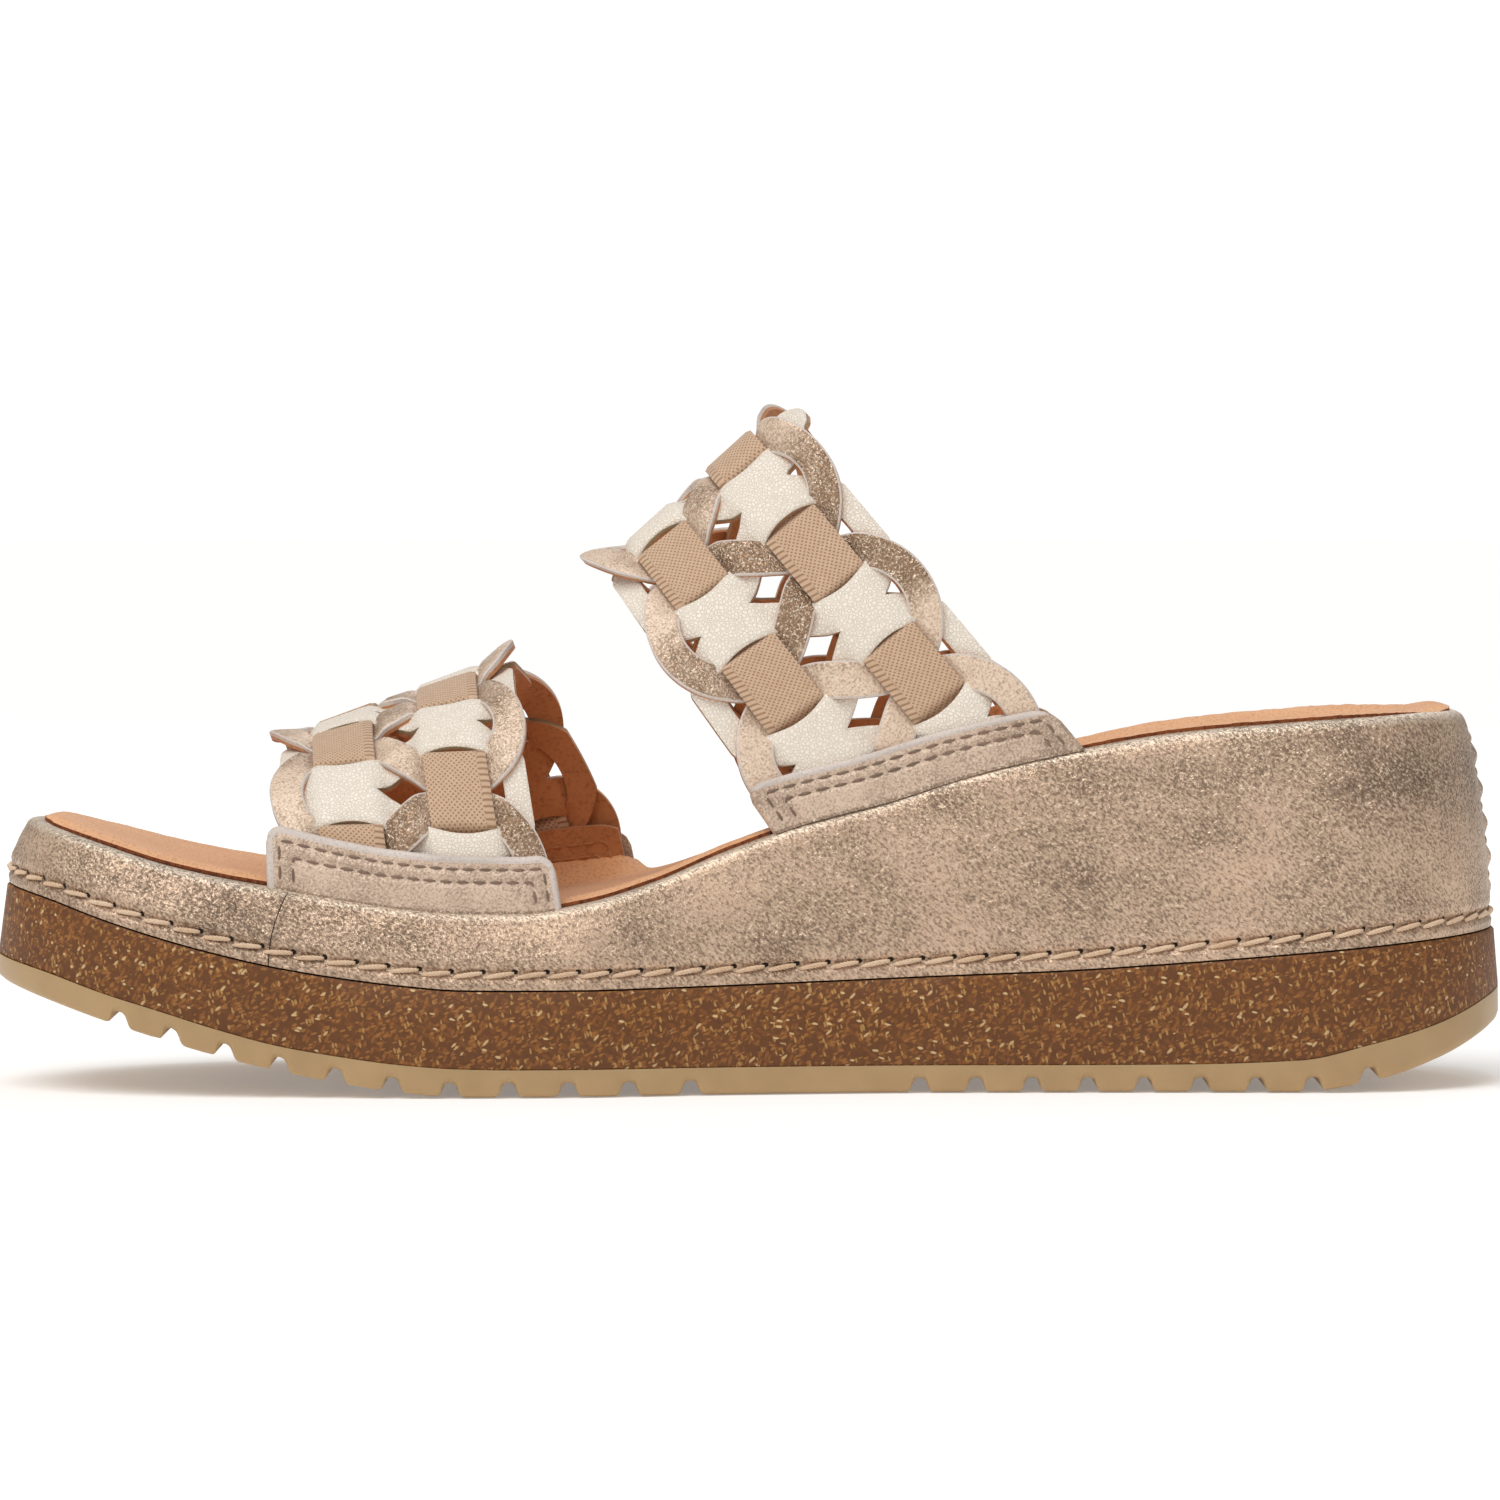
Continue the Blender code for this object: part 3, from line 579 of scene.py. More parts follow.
# The cord has the soft gloss of wax.
cord_tones = ("#e6cbae", "#d6b593", "#a58565")
cord_thread = grained_finish("waxed cotton cord", cord_tones, 0.5, (0.5, 0.75, 0.5), 0.1, Roughness=0.6)
# The sewing thread is dull and a little darker than the bands.
seam_tones = ("#8c7362", "#75604f", "#4f3f33")
seam_thread = grained_finish("taupe sewing thread", seam_tones, 0.4, EVEN_PITS, 0.1, Roughness=0.7)
# A needle hole is painted nearly black, as painted shade in the hole.
hole_shade_tones = ("#2a1d13", "#20150d", "#120b06")
needle_hole = grained_finish("needle hole", hole_shade_tones, 0.5, EVEN_PITS, 0.1, Roughness=1.0)
# The cream leather is bright and soft, with a fine pebble that only shows close by. Its valleys
# carry painted shade.
cream_leather = pebbled_leather()
# The strap's foil goes from nearly matt cream to bright bronze within one strip, partly as painted
# shade and light, and carries painted glints.
strap_tones = ("#e6cbb2", "#ac8c70", "#6a523f", "#fbeedb")
strap_foil = foil_leather("champagne strap leather", strap_tones, (0.42, 0.72), (0.1, 0.65), 0.5, 0.6)
# The bands are the mattest foil, with a grey-beige grain and a few painted glints.
band_tones = ("#d9bea7", "#b79c85", "#6d594a", "#f3e4d0")
band_foil = foil_leather("champagne band leather", band_tones, (0.42, 0.8), (0.1, 0.45), 0.5, 0.45)
print("finishes so far:", len(bpy.data.materials))

# %% [markdown]
# ## The outsole
# The outsole is one ring of wall and a tread with cross grooves. The grooves run straight across,
# so it is enough to lift the tread's rings at the groove stations: rungs from the medial to the
# lateral half of the lowest ring then make the grooves. No cutting is needed.

# %% Outsole
# The depth of a groove by the distance from its middle.
GROOVE_SHAPE = ((0.0, 0.6, 1.0, 1.25, 1.5, 1.8, 2.2), (2.4, 2.3, 1.9, 1.3, 0.6, 0.2, 0.0))
# The grooves of the ball and of the heel: first station, step, growth of the step, and count.
GROOVE_ROWS = ((23.0, 8.75, 0.076, 11), (156.4, 9.4, 0.0, 9))
GROOVES = []
for first, step, growth, count in GROOVE_ROWS:
    GROOVES += [first + step * k + growth * k * k for k in range(count)]
SOLE_STEPS = 150
LEAST_STEP = 0.05
LEAST_WALL = 0.2
# Insets of the wall's rings, and their lift over the tread.
OUTSOLE_ROWS = ((1.1, 0.0), (0.45, 0.35), (0.15, 1.1))
OUTSOLE_TOP_INSETS = (0.2, 4.0)


def groove_depth(station):
    nearest = np.min(np.abs(np.asarray(station)[..., None] - np.array(GROOVES)), axis=-1)
    return np.interp(nearest, *GROOVE_SHAPE)


def both_sides(half_turns):
    """Turns on the medial side, and the same stations back along the lateral side."""
    return np.concatenate([half_turns, (FULL_TURN - half_turns)[-2:0:-1]])


def stacked(turn, inset, height):
    """A ring of points at a height that is given by its own stations."""
    flat = ring(turn, inset)
    return np.column_stack([flat, height(flat[:, 0] + LENGTH / 2)])


def spaced(values, least):
    """The values without those that follow too close on another."""
    return values[np.concatenate([[True], np.diff(values) > least])]


def tread_line(lift):
    def line(station):
        tread = profile["tread"](station) + groove_depth(station) + lift
        return np.minimum(tread, profile["cork_foot"](station) - LEAST_WALL)

    return line


def above_line(name, lift):
    return lambda station: profile[name](station) + lift


corners = [g + sign * d for g in GROOVES for d in GROOVE_SHAPE[0] for sign in (-1, 1)]
even_stations = station_of(np.linspace(0, math.pi, SOLE_STEPS))
sole_stations = spaced(np.unique(np.concatenate([even_stations, corners])), LEAST_STEP)
sole_turns = both_sides(turn_of(sole_stations))
rings = [stacked(sole_turns, inset, tread_line(lift)) for inset, lift in OUTSOLE_ROWS]
rings += [stacked(sole_turns, inset, above_line("cork_foot", GAP)) for inset in OUTSOLE_TOP_INSETS]
bm = bmesh.new()
stack_rings(bm, rings)
add_piece("outsole_rubber", bm, [rubber], ["outsole"])

# %% [markdown]
# ## The cork layer
# The cork is a plain band round the sole that leans in a little towards the top. Its edges are
# sanded just round, so each edge gets a second ring close by.

# %% Cork layer
TOE_LEAN_REACH = 40.0
CORK_STEPS = 360
# Layer line, lift over it, inset, and lean at the toe.
CORK_ROWS = (
    ("cork_foot", GAP, 3.0, 0.3),
    ("cork_foot", GAP, 0.45, 0.3),
    ("cork_foot", GAP + 0.35, 0.2, 0.3),
    ("cork_top", -0.35, 0.95, 1.0),
    ("cork_top", 0.0, 1.3, 1.0),
    ("cork_top", 0.0, 4.0, 1.0),
)


def leaning(turn, inset, toe_lean):
    """An inset that grows towards the toe, where the layers lean back."""
    return inset + toe_lean * np.clip(1 - station_of(turn) / TOE_LEAN_REACH, 0, 1) ** 2


cork_turns = np.linspace(0, FULL_TURN, CORK_STEPS, endpoint=False)
rings = []
for line, lift, inset, toe_lean in CORK_ROWS:
    rings.append(stacked(cork_turns, leaning(cork_turns, inset, toe_lean), above_line(line, lift)))
bm = bmesh.new()
stack_rings(bm, rings)
add_piece("midsole_cork", bm, [cork], ["midsole"])

# %% [markdown]
# ## The wedge
# The foil leather is wrapped round a wedge and sewn near its foot with a thick cord. The cord
# pulls a soft trough into the leather and leaves a narrow welt below it, with a pucker at each
# needle hole. At the back the two ends of the leather are whipped together, which leaves a row of
# small pillows. Both are real geometry here: rings lie close together near the stitch line. Each
# point also carries how far its foil is darkened to bronze in listed clouds, those at the toe
# painted shade, and how much it is painted pale at the top edge, partly worn foil and partly a
# painted highlight.

# %% Wedge
# The wall's inset by its share of the height.
WALL_SHARES = (0.0, 0.3, 0.6, 0.82, 0.93, 0.985, 1.0)
WALL_INSETS = (1.5, 2.1, 3.4, 4.8, 5.6, 6.7, 8.2)
WEDGE_TOE_LEAN = 0.8
WEDGE_STEPS = 600
HEEL_STEPS = np.linspace(-0.16, 0.16, 41)
WEDGE_UNDER = -4.0
WEDGE_TOP_INSETS = (9.6, 12.0, 16.0)
STITCH_UP = 2.9
STITCH_PITCH = 5.3
# Each swell or trough of the leather: how far it stands out, its height on the wall, its width.
SWELLS = ((0.25, 1.1, 0.8), (0.2, 4.6, 1.1), (-0.5, STITCH_UP - 0.3, 0.75))
# The pucker at a needle hole: its depth, and its reach along and across the seam.
PUCKER = (0.25, 0.9, 1.3)
WHIP_PITCH = 5.8
WHIP_BULGE = 1.0
WHIP_WIDTH = 3.0
WHIP_FOOT = 4.5
WHIP_TOP = 3.0
WHIP_FADE = 3.0
SEAM_VALLEY = 0.4
WEDGE_UPS = (0.0, 0.5, 1.1, 1.7, 2.2, 2.6, 2.9, 3.2, 3.6, 4.2, 5.0, 6.0)
WEDGE_SHARES = tuple(np.linspace(0.02, 0.92, 46)) + (0.94, 0.96, 0.975, 0.99, 1.0)
# The pale top edge, partly worn foil and partly a painted highlight: its strength, how far below the
# edge it stays full, and its fade.
RIM_SHARE = 0.7
RIM_FROM = 0.3
RIM_FADE = 1.6
# Darker bronze clouds, painted shade at the toe: station, height, reach along, reach up, and depth.
CLOUDS = (
    (26, 35.5, 28, 9, 0.14),
    (23, 35, 10, 5, 0.12),
    (44, 29, 9, 5, 0.24),
    (70, 27, 8, 3, 0.2),
    (110, 27, 7, 3, 0.16),
    (131, 25, 9, 3, 0.14),
    (162, 48, 13, 3, 0.12),
    (184, 34, 13, 7, 0.16),
    (196, 53, 19, 4, 0.2),
    (199, 43, 11, 5, 0.16),
    (223, 59, 11, 3, 0.18),
    (240, 53, 13, 8, 0.36),
    (228, 35, 12, 8, 0.14),
)
wall_inset = smooth_curve(WALL_SHARES, WALL_INSETS)


def worn_and_shaded_places(a, b, places):
    """Painted wear and shade of the foil, from places at a and b, with a reach each way and a depth."""
    wear_and_shade = np.zeros(len(a))
    for at_a, at_b, reach_a, reach_b, depth in places:
        wear_and_shade += depth * bell(a - at_a, reach_a) * bell(b - at_b, reach_b)
    return wear_and_shade


def wedge_point(turn, share, out):
    """A point of the wedge's wall, by its share of the height and how far it stands out."""
    lean = leaning(turn, wall_inset(share), WEDGE_TOE_LEAN * (1 - share))
    flat = ring(turn, lean - out)
    station = flat[..., 0] + LENGTH / 2
    foot = profile["cork_top"](station) + GAP
    height = foot + share * (rim_height(station, side_of(turn)) - foot)
    return np.concatenate([flat, height[..., None]], -1)


def wedge_height(turn):
    station = station_of(turn)
    return rim_height(station, side_of(turn)) - profile["cork_top"](station) - GAP


dense_turns = np.linspace(0, FULL_TURN, 2401)
stitch_run = run_along(wedge_point(dense_turns, STITCH_UP / wedge_height(dense_turns), 0.0))
SEAM_RUN = stitch_run[-1]
STITCHES = int(round(SEAM_RUN / STITCH_PITCH))
stitch_step = SEAM_RUN / STITCHES
heel_run = np.interp(math.pi, dense_turns, stitch_run)


def seam_turn(run):
    return np.interp(run % SEAM_RUN, stitch_run, dense_turns)


def leather_relief(turn, up):
    """How far the leather stands out, by where the cord and the whipped seam pull it."""
    run = np.interp(turn, dense_turns, stitch_run)
    phase = (run / stitch_step) % 1.0
    from_hole = np.minimum(phase, 1 - phase) * stitch_step
    swell = sum(depth * bell(up - at, width) for depth, at, width in SWELLS)
    depth, along, upward = PUCKER
    pucker = depth * bell(from_hole, along) * bell(up - STITCH_UP, upward)
    from_seam = np.abs(run - heel_run)
    wave = 0.5 + 0.5 * np.cos(FULL_TURN * (up - STITCH_UP) / WHIP_PITCH + math.pi)
    below_rim = wedge_height(turn) - up
    inside = ease((up - WHIP_FOOT) / WHIP_FADE) * ease((below_rim - WHIP_TOP) / WHIP_FADE)
    pillow = WHIP_BULGE * bell(from_seam, WHIP_WIDTH) * wave
    return swell - pucker + inside * (pillow - SEAM_VALLEY * bell(from_seam, SEAM_VALLEY))


def wedge_skin(turn, share, lift=0.0):
    """Points on the leather's own face, with all its relief."""
    return wedge_point(turn, share, leather_relief(turn, share * wedge_height(turn)) + lift)


even_turns = np.linspace(0, FULL_TURN, WEDGE_STEPS, endpoint=False)
wedge_turns = spaced(np.sort(np.concatenate([even_turns, math.pi + HEEL_STEPS])), 1e-4)
high = wedge_height(wedge_turns)
rows = [up / high for up in WEDGE_UPS]
rows += [rows[-1] + share * (1 - rows[-1]) for share in WEDGE_SHARES]
wall = [wedge_skin(wedge_turns, share) for share in rows]
rings = [wedge_point(wedge_turns, rows[0], WEDGE_UNDER)] + wall
for inset in WEDGE_TOP_INSETS:
    flat = ring(wedge_turns, inset)
    rings.append(np.column_stack([flat, footbed(flat)]))
bm = bmesh.new()
wear_and_shade_layer = bm.verts.layers.float.new("wear_and_shade")
rim_highlight_layer = bm.verts.layers.float.new("rim")
loops = stack_rings(bm, rings)
for k, loop in enumerate(loops[1:]):
    row = min(k, len(rows) - 1)
    # Darker bronze clouds; those at the toe are painted shade.
    wear_and_shade = worn_and_shaded_places(wall[row][:, 0] + LENGTH / 2, wall[row][:, 2], CLOUDS)
    # Painted highlight near the top edge, partly worn foil.
    rim_highlight = RIM_SHARE * (1 - ease(((1 - rows[row]) * high - RIM_FROM) / RIM_FADE))
    for vert, rubbed_and_shaded, highlight in zip(loop, wear_and_shade, rim_highlight):
        vert[wear_and_shade_layer] = rubbed_and_shaded
        vert[rim_highlight_layer] = highlight
add_piece("wedge_wrap", bm, [wedge_foil], ["wedge"], sharp=60.0)

# %% [markdown]
# ## The cord round the wedge
# The cord is laid from three waxed strands. Each stitch comes out just below one needle hole,
# crosses the trough in a shallow bow, and goes into the next hole. A strand is a thin tube that
# winds round the stitch's own path, so the twist is real. The holes are small cups painted
# nearly black, as painted shade in the holes.

# %% Cord stitches
STRANDS = 3
STRAND_RADIUS = 0.26
LAY_RADIUS = 0.2
LAY_PITCH = 1.7
STRAND_SIDES = 5
STRAND_STEPS = 24
CORD_TAPER = 0.55
HOLE_ABOVE = 0.12
NEEDLE_RADIUS = 0.42
NEEDLE_STEPS = 8
# The rings of a needle hole: their share of its radius, and their lift over the leather.
NEEDLE_RINGS = ((1.0, 0.14), (0.45, 0.12))
STITCH_START = 0.1
STITCH_SHARE = 0.86
STITCH_BELOW = 0.1
STITCH_DROP = 0.65
STITCH_SWEEP = 1.4
STITCH_BOW = 0.5
STITCH_FULLNESS = 0.6
STITCH_SUNK = 0.25
THREAD_SHARP = 80.0


def frame_along(path, outward):
    """Directions across a path: away from the leather, and sideways."""
    along = unit(np.gradient(path, axis=0))
    sideways = unit(np.cross(along, outward))
    return np.cross(sideways, along), sideways


def around(angle, up, sideways):
    return np.cos(angle)[..., None] * up + np.sin(angle)[..., None] * sideways


def tube(path, up, sideways, radii, sides):
    """Rings of points along a path, for one thread."""
    angles = np.linspace(0, FULL_TURN, sides, endpoint=False)[None, :]
    return path[:, None, :] + radii[:, None, None] * around(angles, up[:, None, :], sideways[:, None, :])


def join_tubes(tubes):
    """All threads of a piece as one bmesh. They have the same rings, so one list of faces serves."""
    steps, sides = tubes[0].shape[:2]
    faces = [list(range(sides)), list(range((steps - 1) * sides, steps * sides))]
    for i in range(0, (steps - 1) * sides, sides):
        for j in range(sides):
            k = (j + 1) % sides
            faces.append([i + j, i + k, i + sides + k, i + sides + j])
    starts = range(0, len(tubes) * steps * sides, steps * sides)
    all_faces = [[start + corner for corner in face] for start in starts for face in faces]
    mesh = bpy.data.meshes.new("threads")
    mesh.from_pydata(np.array(tubes).reshape(-1, 3), [], all_faces)
    bm = bmesh.new()
    bm.from_mesh(mesh)
    bpy.data.meshes.remove(mesh)
    return bm


def wall_cord(turn, share, proud):
    """Strands that wind round a path on the wedge, drawn thinner where they enter the leather."""
    path = wedge_point(turn, share, proud)
    outward = wedge_point(turn, share, 1.0) - wedge_point(turn, share, 0.0)
    up, sideways = frame_along(path, outward)
    slim = CORD_TAPER + (1 - CORD_TAPER) * np.sin(math.pi * np.linspace(0, 1, len(path))) ** 0.5
    found = []
    for k in range(STRANDS):
        wind = FULL_TURN * (run_along(path) / LAY_PITCH + k / STRANDS)
        strand = path + LAY_RADIUS * slim[:, None] * around(wind, up, sideways)
        found.append(tube(strand, up, sideways, STRAND_RADIUS * slim, STRAND_SIDES))
    return found


strands = []
holes = bmesh.new()
for k in range(STITCHES):
    s = np.linspace(0, 1, STRAND_STEPS)
    turn = seam_turn((k + STITCH_START + STITCH_SHARE * s) * stitch_step)
    up = STITCH_UP - STITCH_BELOW - STITCH_DROP * (1 - s) ** STITCH_SWEEP
    proud = STITCH_BOW * np.sin(math.pi * s) ** STITCH_FULLNESS - STITCH_SUNK
    strands += wall_cord(turn, up / wedge_height(turn), proud)
    angle = np.linspace(0, FULL_TURN, NEEDLE_STEPS, endpoint=False)
    for reach, lift in NEEDLE_RINGS:
        radius = reach * NEEDLE_RADIUS
        across = seam_turn(k * stitch_step) + radius * np.cos(angle) * FULL_TURN / SEAM_RUN
        up = STITCH_UP + HOLE_ABOVE + radius * np.sin(angle)
        points = wedge_skin(across, up / wedge_height(across), lift)
        loop = next_ring(holes, loop, points) if reach < 1 else first_ring(holes, points)
    bmesh.ops.contextual_create(holes, geom=loop)
add_piece("wedge_cord_stitches", join_tubes(strands), [cord_thread], sharp=THREAD_SHARP)
add_piece("wedge_stitch_holes", holes, [needle_hole], sharp=THREAD_SHARP)

# %% [markdown]
# ## Seams of the wrap
# Near the front strap the wrap has an upright join on each side, which shows as one thin dark
# line. At the back a cord in the leather's own colour whips the two ends together. The line is a
# narrow strip laid on the wall, and each whip stitch is a short slanted cord over the seam.

# %% Wrap seams
SEAM_STATION_TOP = 50.8
SEAM_STATION_FOOT = 48.0
SEAM_WIDTH = 0.16
SEAM_TOP_SHARE = 0.97
SEAM_LIFT = 0.03
SEAM_SUNK = 0.3
FRONT_SEAM_STEPS = (40, 1)
WHIP_REACH = 2.6
WHIP_SLANT = 0.9
WHIP_FREE = 10.0
WHIP_SUNK = 0.2
WHIP_BOW = 0.25


def seam_strip(side, s, t, on_top):
    station = SEAM_STATION_FOOT + (SEAM_STATION_TOP - SEAM_STATION_FOOT) * s**2
    turn = turn_of(station + SEAM_WIDTH * (t - 0.5), side)
    return wedge_skin(turn, SEAM_TOP_SHARE * s, SEAM_LIFT if on_top else -SEAM_SUNK)


bm = bmesh.new()
for side in (-1, 1):
    slab(bm, FRONT_SEAM_STEPS, partial(seam_strip, side))
add_piece("wedge_front_seam", bm, [needle_hole])

strands = []
heel_height = wedge_height(np.array([math.pi]))[0]
s = np.linspace(-1, 1, STRAND_STEPS)
for k in range(int((heel_height - WHIP_FREE) / WHIP_PITCH) + 1):
    up = STITCH_UP + WHIP_PITCH * (k + 1) + WHIP_SLANT * s
    proud = WHIP_BOW * np.cos(math.pi * s / 2) - WHIP_SUNK
    strands += wall_cord(seam_turn(heel_run + WHIP_REACH * s), up / heel_height, proud)
add_piece("wedge_heel_whips", join_tubes(strands), [wedge_foil], sharp=THREAD_SHARP)

# %% [markdown]
# ## The insole
# The insole is a suede sock, cut a little inside the rim and cut back where the straps go down.
# Its cut edge is dark and torn, so the edge wanders by a few tenths of a millimetre. At the lateral
# foot of the front strap it is pushed up a few millimetres. A grid from toe to heel and from side
# to side follows the cupped footbed.

# %% Insole
INSOLE_STEPS = (420, 60)
INSOLE_FOOT = 0.15
INSOLE_TOP = 1.9
INSOLE_INSET = 8.6
INSOLE_END_TURN = 0.012
EDGE_CROWDING = 0.9
NOTCH_INSET = 12.4
NOTCH_RAMP = 0.8
NOTCH_MARGIN = -1.5
TORN_TOP = 0.7
TORN_WAVES = ((1.9, 0.13), (0.7, 0.1))
TORN_STARTS = {-1: 600.0, 1: 300.0}
TORN_RUN = 1.3
ROLL = 6.0
END_ROLL = 4.0
CURL_STATIONS = (58.5, 113.0)
CURL_FADE = 7.0
CURL_REACH = 10.0
CURL_RISE = 4.6
STRAP_FEET = {-1: ((46.1, 98.6), (131.8, 184.8)), 1: ((57.0, 110.0), (133.5, 186.0))}
wander = np.random.default_rng(5).normal(0, 1, 4000).reshape(2, -1)


def insole_inset(station, side):
    """The distance of the sock's edge from the outline: notched at the straps, and torn."""
    deepest = np.zeros_like(station)
    for start, end in STRAP_FEET[side]:
        inside = np.minimum(station - start, end - station) + NOTCH_MARGIN
        deepest = np.maximum(deepest, np.clip(inside / NOTCH_RAMP, 0, 1))
    inset = INSOLE_INSET + (NOTCH_INSET - INSOLE_INSET) * deepest
    run = station * TORN_RUN + TORN_STARTS[side]
    for (length, height), heights in zip(TORN_WAVES, wander):
        inset = inset + height * np.interp(run / length, np.arange(len(heights)), heights)
    return inset


def edge_curl(station, from_lateral):
    """Rise of the footbed where it is pushed up against the front strap's lateral foot."""
    start, end = CURL_STATIONS
    near = np.clip(1 - from_lateral / CURL_REACH, 0, 1)
    return CURL_RISE * ease(np.minimum(station - start, end - station) / CURL_FADE) * near**2


def insole_shape(s, t, on_top):
    turn = INSOLE_END_TURN + (math.pi - 2 * INSOLE_END_TURN) * s
    station = station_of(turn)
    medial = ring(turn, insole_inset(station, -1))
    lateral = ring(FULL_TURN - turn, insole_inset(station, 1))
    across = t - EDGE_CROWDING * np.sin(FULL_TURN * t) / FULL_TURN
    flat = medial + across[:, None] * (lateral - medial)
    width = np.linalg.norm(lateral - medial, axis=1)
    edge = np.minimum(across, 1 - across) * width
    ends = LENGTH / 2 - INSOLE_INSET - np.abs(flat[:, 0])
    into = np.clip(np.minimum(edge / ROLL, ends / END_ROLL), 0, 1)
    rolled = TORN_TOP + (INSOLE_TOP - TORN_TOP) * (1 - (1 - into) ** 2)
    rolled = rolled + edge_curl(station, (1 - across) * width)
    return np.column_stack([flat, footbed(flat) + (rolled if on_top else INSOLE_FOOT)])


bm = bmesh.new()
top_faces, walls = slab(bm, INSOLE_STEPS, insole_shape)
for face in walls:
    face.material_index = 1
add_piece("insole_sock", bm, [suede, torn_suede], ["insole"])

# %% [markdown]
# ## The form of a strap
# A strap is a woven ribbon bent over the foot. Its weave is drawn flat, with u along the ribbon
# and v across it, and then laid on a curved face: arches between a crest line and two feet. The
# face is worked out once on a fine table of points and normals, and every later piece is looked
# up on it. The lateral side of the front strap bows a little towards the heel.

# %% Strap form
STRAP_INSET = 11.3
STRAP_LIFT = 0.65
STRAP_HALF = 24.0
ARCH_STEPS = 80
FORM_STEP = 0.5
FORM_REACH_U = 100.0
FORM_REACH_V = 28.0
PAST_FOOT = 60.0
# Crests as station and height. Bronze patches, worn foil and painted shade and light by how each
# part faces, as u, v, reach along both, and depth; a negative depth paints a paler patch.
STRAPS = {
    "front": {
        "plain_ends": False,
        "crest_front": (45.7, 54.5),
        "crest_rear": (90.7, 71.1),
        "crest_side": 5.0,
        "fullness": 2.35,
        "first_tape": -12.4,
        "skew": -0.25,
        "rib_side": 1,
        "far_shift": 0.0,
        "far_bow": 3.6,
        "tip_lifts": {-1: (-17.0, 2.2, 9.0), 1: (0.0, 2.2, 17.0)},
        "crest_tongue": 0.0,
        "closed_notch": -1,
        "worn_and_shaded": (
            (45, 0, 7, 6, 0.26),
            (51, 20, 10, 8, 0.24),
            (26, 20, 12, 8, -0.1),
            (32, 0, 6, 6, -0.12),
            (39, -20, 12, 8, -0.06),
        ),
    },
    "rear": {
        "plain_ends": True,
        "crest_front": (101.7, 83.3),
        "crest_rear": (136.6, 114.9),
        "crest_side": -1.0,
        "fullness": 2.15,
        "first_tape": -1.5,
        "skew": 0.0,
        "rib_side": -1,
        "far_shift": 6.0,
        "far_bow": 0.0,
        "tip_lifts": {-1: (0.0, 3.6, 17.0), 1: (9.0, 5.0, 17.0)},
        "crest_tongue": 3.0,
        "closed_notch": 0,
        "worn_and_shaded": (
            (19, 19, 7, 7, 0.2),
            (32, 18, 7, 6, 0.34),
            (41, 22, 6, 6, 0.24),
            (51, 18, 6, 8, -0.18),
            (67, 18, 13, 10, -0.24),
            (21, 0, 6, 5, 0.34),
            (34, 0, 7, 5, 0.3),
            (48, 0, 6, 6, -0.2),
            (61, 0, 8, 6, -0.12),
            (19, -20, 6, 7, -0.2),
            (33, -20, 8, 7, 0.28),
            (55, -18, 13, 8, -0.24),
            (1, -20, 8, 6, -0.2),
        ),
    },
}


